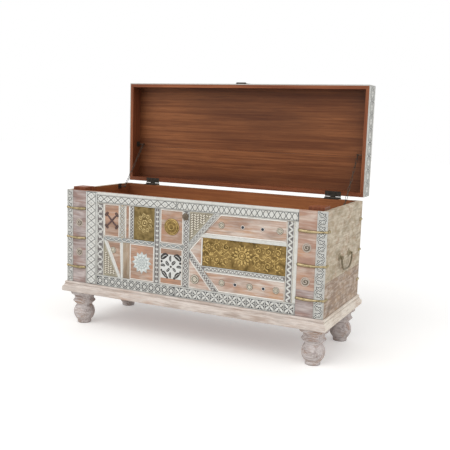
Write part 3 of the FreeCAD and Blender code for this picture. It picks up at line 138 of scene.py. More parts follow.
def cloud(
    tree: Tree, grain: Grain, size: Point, shift: float, span: Point, detail: float = 4.0, warp: float = 0.0
) -> Socket:
    """Noise drawn out along the fibres that runs from nought below one level to one above another.

    Args:
        tree: The node tree.
        grain: The direction of the fibres.
        size: Millimetres along and across the fibres that make one unit.
        shift: Shift in units, so that two finishes don't show the same figure.
        span: Noise levels that give nought and one.
        detail: Octaves of the noise.
        warp: How far the noise bends itself.

    Returns:
        The value socket.
    """
    scale = [1 / (size[1] * MM)] * 3
    scale[grain.value] = 1 / (size[0] * MM)
    place = add_node(tree, "ShaderNodeTexCoord").outputs["Object"]
    location = (shift, shift * 0.7, shift * 1.3)
    space = add_node(tree, "ShaderNodeMapping", {"Vector": place, "Location": location, "Scale": scale})
    settings = {"Vector": space.outputs["Vector"], "Scale": 1.0, "Detail": detail, "Distortion": warp}
    noise = add_node(tree, "ShaderNodeTexNoise", settings)
    levels = {"Value": noise.outputs["Fac"], "From Min": span[0], "From Max": span[1]}
    return add_node(tree, "ShaderNodeMapRange", levels).outputs["Result"]


def layer(tree: Tree, base: Socket | str, over: Socket | str, share: Socket, strength: float = 1.0) -> Socket:
    """Lay one colour over another.

    Args:
        tree: The node tree.
        base: The colour below, as hex digits or a socket.
        over: The colour above.
        share: Where it lies, from nought to one.
        strength: How well it covers there.

    Returns:
        The colour socket.
    """
    amount = add_node(tree, "ShaderNodeMath", {0: share, 1: strength}, operation="MULTIPLY")
    below, above = (linear(tone) if isinstance(tone, str) else tone for tone in (base, over))
    return add_node(tree, "ShaderNodeMix", {0: amount.outputs[0], 6: below, 7: above}, data_type="RGBA").outputs[2]


def shade_and_grime_in_corners(tree: Tree, reach: float, depth: float) -> Socket:
    """A value from occlusion that is one in cramped corners, where dirt stays, and nought on open faces; the colour
    laid with it is painted shade as well as dirt and tarnish.

    Args:
        tree: The node tree.
        reach: Millimetres that the test looks round a point.
        depth: How closed a corner has to be to count in full, from nought to one.

    Returns:
        The value socket.
    """
    shade = add_node(tree, "ShaderNodeAmbientOcclusion", {"Distance": reach * MM}, samples=6)
    levels = {"Value": shade.outputs["AO"], "From Min": 1 - depth, "From Max": 0.97, "To Min": 1.0, "To Max": 0.0}
    return add_node(tree, "ShaderNodeMapRange", levels).outputs["Result"]


# Finishes


@dataclass(frozen=True)
class Finish:
    """What a surface is made of and how it was treated."""

    name: str

    def shade(self, tree: Tree) -> Socket:
        """Build the shader and return its output."""
        raise NotImplementedError

    def surface(self, tree: Tree, tone: Socket, relief: Socket, depth: float, values: dict) -> Socket:
        """A shader of one colour over a fine relief.

        Args:
            tree: The node tree.
            tone: Its colour.
            relief: Its heights, from nought to one.
            depth: Millimetres that the relief's one stands for.
            values: The shader's other inputs.

        Returns:
            The shader's output.
        """
        bump = add_node(tree, "ShaderNodeBump", {"Height": relief, "Distance": depth * MM, "Strength": 0.6})
        inputs = {"Base Color": tone, "Normal": bump.outputs["Normal"], **values}
        return add_node(tree, "ShaderNodeBsdfPrincipled", inputs).outputs["BSDF"]

    def material(self) -> bpy.types.Material:
        """Make the material of this finish, or find it where it was made before.

        Returns:
            The material.
        """
        made = bpy.data.materials.get(self.name)
        if not made:
            made = bpy.data.materials.new(self.name)
            tree = emptied(made)
            add_node(tree, "ShaderNodeOutputMaterial", {"Surface": self.shade(tree)})
        return made


@dataclass(frozen=True)
class WashedWood(Finish):
    """Old mango wood under a rubbed lime wash: chalky and dull, with bare fibres and scratches showing through."""

    wash: str
    wood: str
    grime_and_shade: str
    warm: str
    grain: Grain = Grain.ALONG_X
    cover: float = 0.5
    patch: float = 45.0
    fibre: float = 2.2
    figure: float = 0.0
    streak: float = 0.55
    stain: float = 0.25
    drawn: float = 3.2
    pore: float = 0.5

    def shade(self, tree: Tree) -> Socket:
        """Patches and streaks of wash over bare wood, with grimy pores and stains, and corners darkened as dirt and
        painted shade.

        Args:
            tree: The node tree.

        Returns:
            The shader's output.
        """
        grain, fibre, patch, figure = self.grain, self.fibre, self.patch, self.figure
        patches = cloud(tree, grain, (self.drawn * patch, patch), figure + 3, (0.36, 0.64), 5, 0.6)
        streaks = cloud(tree, grain, (26 * fibre, 1.9 * fibre), figure + 7, (0.42, 0.62), 6, 0.3)
        cover = add_node(tree, "ShaderNodeMath", {0: patches, 1: 0.55, 2: self.cover - 0.5}, operation="MULTIPLY_ADD")
        fine = {0: streaks, 1: self.streak, 2: cover.outputs[0]}
        kept = add_node(tree, "ShaderNodeMath", fine, operation="MULTIPLY_ADD")
        share = add_node(tree, "ShaderNodeMapRange", {"Value": kept.outputs[0], "From Min": 0.12, "From Max": 0.82})
        rubbed = cloud(tree, grain, (4 * patch, 1.6 * patch), figure + 11, (0.46, 0.66), 3)
        tone = layer(tree, layer(tree, self.wood, self.warm, rubbed), self.wash, share.outputs["Result"])
        tone = layer(tree, tone, self.grime_and_shade, cloud(tree, grain, (110, 26), figure + 23, (0.5, 0.7), 5, 0.8), self.stain)
        pores = cloud(tree, grain, (18 * fibre, 0.7 * fibre), figure + 17, (0.56, 0.7), 3)
        tone = layer(tree, tone, self.grime_and_shade, pores, self.pore)
        # Corners in the grime colour: dirt and painted shade.
        tone = layer(tree, tone, self.grime_and_shade, shade_and_grime_in_corners(tree, 4.0, 0.75), 0.8)
        fibres = cloud(tree, grain, (34 * fibre, fibre), figure, (0.3, 0.7), 5)
        return self.surface(tree, tone, fibres, 0.3, {"Roughness": 0.74, "IOR": 1.45})


@dataclass(frozen=True)
class OiledWood(Finish):
    """Oiled sheesham: long flame figure in two reddish browns with darker pores, and a low sheen."""

    light: str
    dark: str
    pore: str
    grain: Grain = Grain.ALONG_X
    ring: float = 16.0
    figure: float = 0.0
    painted_shade: float = 0.5

    def shade(self, tree: Tree) -> Socket:
        """A soft sheen over fine open pores, with painted shade in broad clouds and towards the corners.

        Args:
            tree: The node tree.

        Returns:
            The shader's output.
        """
        grain, ring, figure = self.grain, self.ring, self.figure
        bend = cloud(tree, grain, (420, 70), figure, (0.2, 0.8), 2)
        rings = cloud(tree, grain, (45 * ring, ring), figure + 5, (0.0, 1.0), 3, 1.4)
        both = add_node(tree, "ShaderNodeMath", {0: bend, 1: 0.45, 2: rings}, operation="MULTIPLY_ADD")
        bands = add_node(tree, "ShaderNodeMapRange", {"Value": both.outputs[0], "From Min": 0.5, "From Max": 0.92})
        tone = layer(tree, self.light, self.dark, bands.outputs["Result"])
        pores = cloud(tree, grain, (60, 0.9), figure + 9, (0.52, 0.68), 3)
        tone = layer(tree, tone, self.pore, pores, 0.5)
        # Broad clouds of the pore colour: painted shade.
        painted_shade = cloud(tree, grain, (700, 160), figure + 13, (0.42, 0.7), 3, 0.4)
        tone = layer(tree, tone, self.pore, painted_shade, self.painted_shade)
        # The pore colour in the corners of the box and lid: painted shade.
        tone = layer(tree, tone, self.pore, shade_and_grime_in_corners(tree, 190.0, 0.85), 0.8)
        values = {"Roughness": 0.48, "IOR": 1.48, "Specular IOR Level": 0.3}
        return self.surface(tree, tone, pores, -0.12, values)


class Parting(Enum):
    """What parts the two finishes of one solid: where a face looks, or where it lies."""

    LOOKS = "Normal"
    LIES = "Object"


@dataclass(frozen=True)
class TwoFinishes(Finish):
    """Boards of one solid that were treated in two ways."""

    near: Finish
    far: Finish
    way: tuple[float, float, float]
    limit: float = 0.5
    parting: Parting = Parting.LOOKS

    def shade(self, tree: Tree) -> Socket:
        """The far finish past a limit along the way, the near one on the rest.

        Args:
            tree: The node tree.

        Returns:
            The shader's output.
        """
        place = add_node(tree, "ShaderNodeTexCoord").outputs[self.parting.value]
        reach = add_node(tree, "ShaderNodeVectorMath", {0: place, 1: self.way}, operation="DOT_PRODUCT")
        past = {0: reach.outputs["Value"], 1: self.limit}
        beyond = add_node(tree, "ShaderNodeMath", past, operation="GREATER_THAN")
        parts = {0: beyond.outputs[0], 1: self.near.shade(tree), 2: self.far.shade(tree)}
        return add_node(tree, "ShaderNodeMixShader", parts).outputs[0]


@dataclass(frozen=True)
class PaintedCarving(Finish):
    """Carved wood with thick old lime paint: chalky on the lines, rubbed to wood at places, dark in the cuts."""

    paint: str
    under: str
    cut: str
    wear: float = 0.4
    dirt_and_shade_grip: float = 0.8
    reach: float = 2.2

    def shade(self, tree: Tree) -> Socket:
        """Paint with worn patches of a few millimetres, and dirt and painted shade in every cut.

        Args:
            tree: The node tree.

        Returns:
            The shader's output.
        """
        rubbed = cloud(tree, Grain.ALONG_X, (16, 12), 2.0, (0.5 - 0.12 * self.wear, 0.74), 6, 0.8)
        tone = layer(tree, self.paint, self.under, rubbed, self.wear)
        # The cut colour in every crevice: dirt and painted shade.
        tone = layer(tree, tone, self.cut, shade_and_grime_in_corners(tree, self.reach, 0.62), self.dirt_and_shade_grip)
        grit = cloud(tree, Grain.ALONG_X, (1.1, 0.8), 4.0, (0.3, 0.7), 3)
        return self.surface(tree, tone, grit, 0.1, {"Roughness": 0.7, "IOR": 1.45})


@dataclass(frozen=True)
class WornMetal(Finish):
    """Brass or iron with a skin of tarnish: bright on the rubbed high spots, dull and dark in the hollows."""

    metal: str
    tarnish: str
    roughness: float
    skin: float = 0.4
    spot: float = 9.0
    reach: float = 3.0
    metallic: float = 1.0

    def shade(self, tree: Tree) -> Socket:
        """A rough metal whose colour and gloss fall off where the tarnish lies.

        Args:
            tree: The node tree.

        Returns:
            The shader's output.
        """
        stain = cloud(tree, Grain.ALONG_X, (self.spot, self.spot), 1.0, (0.42, 0.68), 5, 0.5)
        tone = layer(tree, self.metal, self.tarnish, stain, self.skin)
        tone = layer(tree, tone, self.tarnish, shade_and_grime_in_corners(tree, self.reach, 0.55), 0.85)
        dull = {"Value": stain, "To Min": self.roughness, "To Max": min(1.0, self.roughness + 0.22)}
        gloss = add_node(tree, "ShaderNodeMapRange", dull).outputs["Result"]
        grit = cloud(tree, Grain.ALONG_X, (1.6, 1.6), 6.0, (0.3, 0.7), 4)
        return self.surface(tree, tone, grit, 0.12, {"Metallic": self.metallic, "Roughness": gloss})


# Sheesham inside the box and the lid, oiled: warm brown with a soft shine, and painted shade in broad clouds and
# corners.
RED_PLANK = OiledWood("oiled sheesham lid plank", "a5673c", "74401f", "3d1c0f", ring=18)
RED_RAIL = OiledWood("oiled sheesham lid rail", "a3623e", "7c4226", "4a2415", ring=11, figure=2, painted_shade=0.25)
RED_UPRIGHT = replace(RED_RAIL, name="oiled sheesham upright", grain=Grain.ALONG_Z, figure=4)
RED_DEEP = OiledWood("oiled sheesham lining", "b06f42", "8a4d2c", "5c2e1a", figure=6, painted_shade=0.3)
RED_END = replace(RED_DEEP, name="oiled sheesham end lining", grain=Grain.ALONG_Y, figure=8)
# Mango wood outside, limed and rubbed: a dull white with wood and old dirt showing.
PLINTH_WASH = WashedWood(
    "limed mango plinth moulding", "dacfc6", "b3a093", "85766c", "bd9c86", cover=0.68, figure=1
)
# The end rails: the moulding's wash with its grain across and its colours lighter, as painted light on the ends.
PLINTH_END_PAINTED_LIGHT = replace(
    PLINTH_WASH, name="limed mango plinth end, painted lighter as lit", wash="f0e6d8", wood="d0c0ae", grain=Grain.ALONG_Y, figure=2
)
FOOT_WASH = WashedWood(
    "limed mango turned foot", "d6cecb", "9b8c87", "665b57", "ab8468", cover=0.62, patch=20, fibre=2.0, figure=5
)
END_WASH = WashedWood(
    "limed mango end plank", "d9ceba", "b2a187", "857860", "b3987e", Grain.ALONG_Y, 0.5, 15, 2.4, 3, 0.3, 0.5, 2.0, 0.3
)
END_LOW = replace(
    END_WASH, name="limed mango lowest end plank", wash="d4c5b6", wood="9a8371", grime_and_shade="6c5c4e", cover=0.4
)
BACK_WASH = WashedWood("limed mango back plank", "cbc2b4", "a39482", "7d7263", "ab9079", patch=34, figure=9, drawn=9)
LID_WASH = replace(BACK_WASH, name="limed mango lid plank", figure=14)
ROSE_LEFT = WashedWood(
    "pink limed panel at the left", "cdbcad", "a88773", "7d6655", "be9176", Grain.ALONG_X, 0.3, 26, 3.2, 4, 0.3, 0.5
)
ROSE_RIGHT = WashedWood(
    "pink limed panel at the right", "d9ccc0", "b89582", "8a7163", "c39b7c", Grain.ALONG_X, 0.42, 30, 3.4, 21, 0.45, 0.5
)
ROSE_CORNER = WashedWood(
    "pink limed corner plank", "d3c0b2", "b18d7b", "8a6f62", "bd9377", Grain.ALONG_X, 0.36, 26, 2.8, 12, 0.4, 0.4
)
MAUVE_CORNER = replace(
    ROSE_CORNER,
    name="mauve limed corner plank",
    wash="c3b7b3",
    wood="94807a",
    grime_and_shade="6f5f5c",
    warm="a5857a",
    cover=0.46,
)
REEDED_WASH = WashedWood(
    "limed reeded panel", "cfc0ab", "ab937a", "806d58", "b8937a", Grain.ALONG_Z, 0.5, 24, 1.8, 30, 0.5, 0.3
)
# Thick old lime paint on carved teak, its grounds dark or tinted by age, and its cuts dark with dirt and painted shade.
WHITE_GROUND = PaintedCarving("grey-white ground of the carvings", "c8c8c3", "aeaaa0", "777b7a", 0.6)
WHITE_RAISED = PaintedCarving("white of the raised carving", "dadad4", "b5aea2", "7d807e", dirt_and_shade_grip=0.45)
GREY_CUT_SHADE = PaintedCarving("dark grey cut round the carving, dirt and painted shade", "4b4b4c", "62625f", "33373a", 0.4)
SLATE_CUT_SHADE = PaintedCarving("slate cut of the narrow strips, dirt and painted shade", "7b7674", "67625f", "4a4745", 0.5)
GREY_STAIN = PaintedCarving("grey stain in the lozenges", "9a9ea0", "85878a", "5d6163", 0.5, 0.4)
CREAM_GROUND = PaintedCarving("cream ground of the scrolls", "c4b8a1", "a99a80", "827460", 0.6)
CREAM_RAISED = PaintedCarving("cream of the raised carving", "e0d9c8", "bdb096", "8a7b66", dirt_and_shade_grip=0.4)
DULL_RAISED = PaintedCarving("rubbed lime of the corner rosettes", "c9bdb0", "a8988a", "857567", 0.6)
BROWN_CUT_SHADE = PaintedCarving("brown cut round the cream carving, dirt and painted shade", "6b6355", "7d7161", "4b453b", 0.4)
BLUE_GROUND = PaintedCarving("grey-blue ground of the strips", "9ea4a4", "908f8a", "5f6a6b", 0.6)
LEAF_GROUND = PaintedCarving("straw ground of the leaf carving", "a79f8b", "8d876f", "6c6652", 0.8)
STAR_WHITE = PaintedCarving("white bone of the star", "e0e4e0", "c3c9c6", "8f9896", 0.3)
PLATE_WHITE = PaintedCarving("white bone of the pierced plate", "dedfdb", "bcb9b0", "777777", 0.4)
BLACK_CUT = PaintedCarving("black opening of the pierced plate", "35322f", "57504a", "1b1a1a", 0.5)
DARK_STUD = PaintedCarving("dark blue stone of the ring studs", "2a2d38", "20242c", "15171c", 0.3)
STAR_SHADE = PaintedCarving("grey cut of the star, dirt and painted shade", "98a2a2", "8f9896", "6f7878", 0.3)
BEAD_WHITE = PaintedCarving("white of the thin beads", "eeebe4", "cfc3b5", "b0a89e", 0.4, 0.1)
# Finishes of a carving's raised forms, of the cuts round them and of its stained parts.
WHITE_DRESS = [WHITE_RAISED, GREY_CUT_SHADE, GREY_STAIN]
CREAM_DRESS = [CREAM_RAISED, BROWN_CUT_SHADE, CREAM_GROUND]
# Sheet brass beaten thin and forged iron, both dull with age.
OLIVE_BRASS = WornMetal("olive ground of the tall brass sheet", "8b7850", "4a3d22", 0.5, 0.6, 16)
OLIVE_LINE = WornMetal("rubbed line of the tall brass sheet", "dcc794", "a48c58", 0.4, 0.3, 5)
GOLD_BRASS = WornMetal("ground of the long brass sheet", "8f774a", "3f3218", 0.45, 0.65, 20)
GOLD_LINE = WornMetal("rubbed line of the long brass sheet", "c8ac70", "6b5528", 0.36, 0.6, 9)
BAR_BRASS = WornMetal("half-round brass bar", "b09f7c", "5a5531", 0.4, 0.55, 14)
DARK_IRON = WornMetal("forged dark iron", "46403a", "1b1815", 0.5, 0.55, 6, 2.5, 0.85)
CHAIN_IRON = WornMetal("forged iron of the chains", "5a5148", "26211c", 0.5, 0.5, 6, 1.5, 0.8)
STAPLE_IRON = WornMetal("grey forged iron of the staple", "837666", "4a4137", 0.55, 0.5, 6, 2.5, 0.6)
LUG_IRON = WornMetal("limed iron of the handle plates", "b3a78e", "857860", 0.6, 0.5, 6, 2.5, 0.3)
BAIL_IRON = WornMetal("worn iron of the drop handles", "8b8069", "4f4738", 0.45, 0.5, 8, 2.5, 0.7)
CROSS_IRON = WornMetal("purple-brown iron of the cross", "67504d", "3d2f30", 0.5, 0.5, 8, 2.5, 0.4)


# Reading the frame


@dataclass(frozen=True)
class Side:
    """A direction that carving looks in: u runs along it, v up it and h out of it, in millimetres."""

    along: tuple[float, float, float]
    up: tuple[float, float, float]
    out: tuple[float, float, float]

    def place(self, u: float, v: float, h: float) -> Vector:
        """The point in metres."""
        return (Vector(self.along) * u + Vector(self.up) * v + Vector(self.out) * h) * MM

    def read(self, point: Vector) -> tuple[float, float, float]:
        """A point's u, v and h in millimetres."""
        return tuple(point.dot(Vector(axis)) / MM for axis in (self.along, self.up, self.out))


FRONT = Side((1, 0, 0), (0, 0, 1), (0, -1, 0))
BACK = Side((-1, 0, 0), (0, 0, 1), (0, 1, 0))
RIGHT = Side((0, 1, 0), (0, 0, 1), (1, 0, 0))
LEFT = Side((0, -1, 0), (0, 0, 1), (-1, 0, 0))
TOP = Side((1, 0, 0), (0, 1, 0), (0, 0, 1))


def sides_of(outline: Sequence[Point]) -> list[tuple[Point, Point]]:
    """The start and the end of each side of a closed outline."""
    return list(zip(outline, [*outline[1:], outline[0]]))


def area_of(outline: Sequence[Point]) -> float:
    """Signed area of a closed outline, positive where it runs counter-clockwise."""
    return sum(ax * by - bx * ay for (ax, ay), (bx, by) in sides_of(outline)) / 2


def without_inline_points(outline: Outline) -> Outline:
    """Drop the points that lie on a straight run.

    Args:
        outline: A closed outline.

    Returns:
        The outline with its corners alone.
    """
    kept = []
    for before, point, after in zip([outline[-1], *outline[:-1]], outline, [*outline[1:], outline[0]]):
        cross = (point[0] - before[0]) * (after[1] - point[1]) - (point[1] - before[1]) * (after[0] - point[0])
        if abs(cross) > LEAST_CORNER:
            kept.append(point)
    return kept


@dataclass(frozen=True)
class Flat:
    """One flat face of a CAD node: its outline in u and v and its height h."""

    outline: Outline
    level: float

    @property
    def low(self) -> Point:
        """Least u and v."""
        return min(u for u, _ in self.outline), min(v for _, v in self.outline)

    @property
    def high(self) -> Point:
        """Greatest u and v."""
        return max(u for u, _ in self.outline), max(v for _, v in self.outline)

    @property
    def centre(self) -> Point:
        """Middle of the box in u and v."""
        return (self.low[0] + self.high[0]) / 2, (self.low[1] + self.high[1]) / 2


def flats(node: str, side: Side, least_area: float = 100.0) -> list[Flat]:
    """The outermost flat faces of a CAD node that look to one side.

    Args:
        node: The node's name.
        side: The direction.
        least_area: Faces under this many square millimetres are left out.

    Returns:
        The faces, from low u to high u and then by v.
    """
    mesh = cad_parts[node].data
    edges: dict[tuple, set] = {}
    for polygon in mesh.polygons:
        if polygon.normal.dot(Vector(side.out)) < FACING:
            continue
        ring = [side.read(mesh.vertices[index].co) for index in polygon.vertices]
        level = round(sum(point[2] for point in ring) / len(ring), 1)
        ends = [(round(u, 1), round(v, 1)) for u, v, _ in ring]
        known = edges.setdefault(level, set())
        for start, end in sides_of(ends):
            if (end, start) in known:
                known.remove((end, start))
            else:
                known.add((start, end))
    found = []
    for level, known in edges.items():
        following = dict(known)
        while following:
            start = min(following)
            outline = [start]
            point = following.pop(start)
            while point != start and point in following:
                outline.append(point)
                point = following.pop(point)
            if area_of(outline) > least_area:
                found.append(Flat(without_inline_points(outline), level))
    outermost = max(flat.level for flat in found) - 0.5
    kept = [flat for flat in found if flat.level > outermost]
    return sorted(kept, key=lambda flat: (round(flat.low[0]), round(flat.low[1])))


@dataclass(frozen=True)
class Solid:
    """One separate solid of a CAD node, as its points in metres."""

    points: np.ndarray

    @property
    def low(self) -> Vector:
        """Lowest corner of its box."""
        return Vector(self.points.min(axis=0))

    @property
    def high(self) -> Vector:
        """Highest corner of its box."""
        return Vector(self.points.max(axis=0))

    @property
    def centre(self) -> Vector:
        """Middle of its box."""
        return (self.low + self.high) / 2

    def axes(self) -> list[tuple[Vector, float]]:
        """Find its own three directions.

        Returns:
            Each direction with the solid's length along it, the longest first.
        """
        middle = self.points.mean(axis=0)
        _, _, directions = np.linalg.svd(self.points - middle, full_matrices=False)
        found = []
        for direction in directions:
            reach = (self.points - middle) @ direction
            found.append((Vector(direction), float(reach.max() - reach.min())))
        return sorted(found, key=lambda item: -item[1])


def solids(node: str) -> list[Solid]:
    """The separate solids of a CAD node.

    Args:
        node: The node's name.

    Returns:
        The solids, from low x to high x and then by y and z.
    """
    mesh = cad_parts[node].data
    keys = [tuple(round(value / MM, 2) for value in vertex.co) for vertex in mesh.vertices]
    parent = {key: key for key in keys}

    def root(key: tuple) -> tuple:
        """Climb to the top of a point's group.

        Args:
            key: The point's key.

        Returns:
            The key that stands for the whole group.
        """
        while parent[key] != key:
            parent[key] = parent[parent[key]]
            key = parent[key]
        return key

    for polygon in mesh.polygons:
        first = root(keys[polygon.vertices[0]])
        for index in polygon.vertices[1:]:
            parent[root(keys[index])] = first
    groups: dict[tuple, list] = {}
    for key in parent:
        groups.setdefault(root(key), []).append(key)
    found = [Solid(np.array(points) * MM) for points in groups.values()]
    return sorted(found, key=lambda solid: tuple(round(value, 3) for value in solid.centre))


# Meshes


def linked(name: str, data: bpy.types.ID) -> bpy.types.Object:
    """Put a mesh, a lamp or a camera into the scene.

    Args:
        name: Name of the object.
        data: What it shows.

    Returns:
        The object.
    """
    made = bpy.data.objects.new(name, data)
    bpy.context.collection.objects.link(made)
    return made


def new_object(
    name: str, points: Sequence, faces: Sequence, finishes: Sequence[Finish], kinds: Sequence[int] = ()
) -> bpy.types.Object:
    """Make a smooth mesh object with its materials.

    Args:
        name: Name of the piece.
        points: Places in metres.
        faces: Tuples of point numbers.
        finishes: Its finishes, in the order that kinds counts them.
        kinds: The finish of each face; the first one where none is given.

    Returns:
        The object, linked to the scene.
    """
    mesh = bpy.data.meshes.new(name)
    mesh.from_pydata([tuple(point) for point in points], [], faces)
    for finish in finishes:
        mesh.materials.append(finish.material())
    if kinds:
        mesh.polygons.foreach_set("material_index", list(kinds))
    mesh.polygons.foreach_set("use_smooth", [True] * len(mesh.polygons))
    mesh.validate()
    mesh.update()
    return linked(name, mesh)


def mount(piece: bpy.types.Object, body: str, slot: str, *replaced: str) -> bpy.types.Object:
    """Let a piece ride on a body and hide the nodes that it stands for.

    Args:
        piece: The piece, already in place.
        body: The CAD body.
        slot: The record's material slot; not used.
        replaced: The CAD nodes that it replaces.

    Returns:
        The piece.
    """
    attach(piece, body)
    if replaced:
        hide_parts(*replaced)
    LOG.info("%s rides on %s, %d faces", piece.name, body, len(piece.data.polygons))
    return piece


def dress(finish: Finish, *nodes: str) -> None:
    """Give CAD nodes their finish.

    Args:
        finish: The finish.
        nodes: Names of the CAD nodes that stay.
    """
    for node in nodes:
        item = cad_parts[node]
        for slot in item.material_slots:
            slot.material = finish.material()
        LOG.info("%s keeps its solid in %s", node, finish.name)


def turned(points: Sequence[Point], centre: Vector, sides: int = 72) -> tuple[list[Vector], list[tuple]]:
    """A solid turned round an upright axis.

    Args:
        points: Radius and height in millimetres, from the bottom of the axis to its top.
        centre: Where the axis meets height nought, in metres.
        sides: Facets round the axis.

    Returns:
        Points and faces.
    """
    places = []
    for radius, height in points:
        places += [centre + Vector((x, y, height)) * MM for x, y in circle((0, 0), radius, sides)]
    return places, tube_faces(len(points), sides)


def neighbours(path: Sequence, index: int, closed: bool) -> tuple:
    """The points before and after one of a path, which stands in for itself where an open path ends.

    Args:
        path: The points.
        index: Number of the one between.
        closed: True where the path's end meets its start.

    Returns:
        The point before and the point after.
    """
    before = path[index - 1] if index or closed else path[index]
    after = path[(index + 1) % len(path)] if index < len(path) - 1 or closed else path[index]
    return before, after


def rod(
    path: Sequence[Vector], radii: Sequence[float], sides: int, closed: bool = False
) -> tuple[list[Vector], list[tuple]]:
    """A round rod along a path.

    Args:
        path: Points in metres.
        radii: The rod's radius at each point, in metres.
        sides: Facets round it.
        closed: True joins its end to its start.

    Returns:
        Points and faces.
    """
    places: list[Vector] = []
    normal = (path[1] - path[0]).normalized().orthogonal().normalized()
    for index, (point, radius) in enumerate(zip(path, radii)):
        before, after = neighbours(path, index, closed)
        tangent = (after - before).normalized()
        normal = (normal - tangent * normal.dot(tangent)).normalized()
        binormal = tangent.cross(normal)
        for angle in angles(sides):
            places.append(point + (normal * math.cos(angle) + binormal * math.sin(angle)) * radius)
    return places, tube_faces(len(path), sides, closed)


def joined(parts: Iterable[tuple[list, list]]) -> tuple[list, list]:
    """Put several sets of points and faces together.

    Args:
        parts: The sets.

    Returns:
        All points and all faces.
    """
    places: list = []
    faces: list = []
    for some_places, some_faces in parts:
        start = len(places)
        places += some_places
        faces += [tuple(start + index for index in face) for face in some_faces]
    return places, faces


class Kind(Enum):
    """Which finish of its piece a carved form takes."""

    RAISED = 0
    CUT = 1
    ACCENT = 2


def lengthened(path: Sequence[Point], by: float) -> Outline:
    """A path carried on at both ends.

    Args:
        path: Its points.
        by: How far.

    Returns:
        The longer path.
    """
    longer = list(path)
    for end, beside in ((0, 1), (-1, -2)):
        (u, v), (bu, bv) = path[end], path[beside]
        size = math.dist((u, v), (bu, bv)) or 1.0
        longer[end] = (u + (u - bu) / size * by, v + (v - bv) / size * by)
    return longer


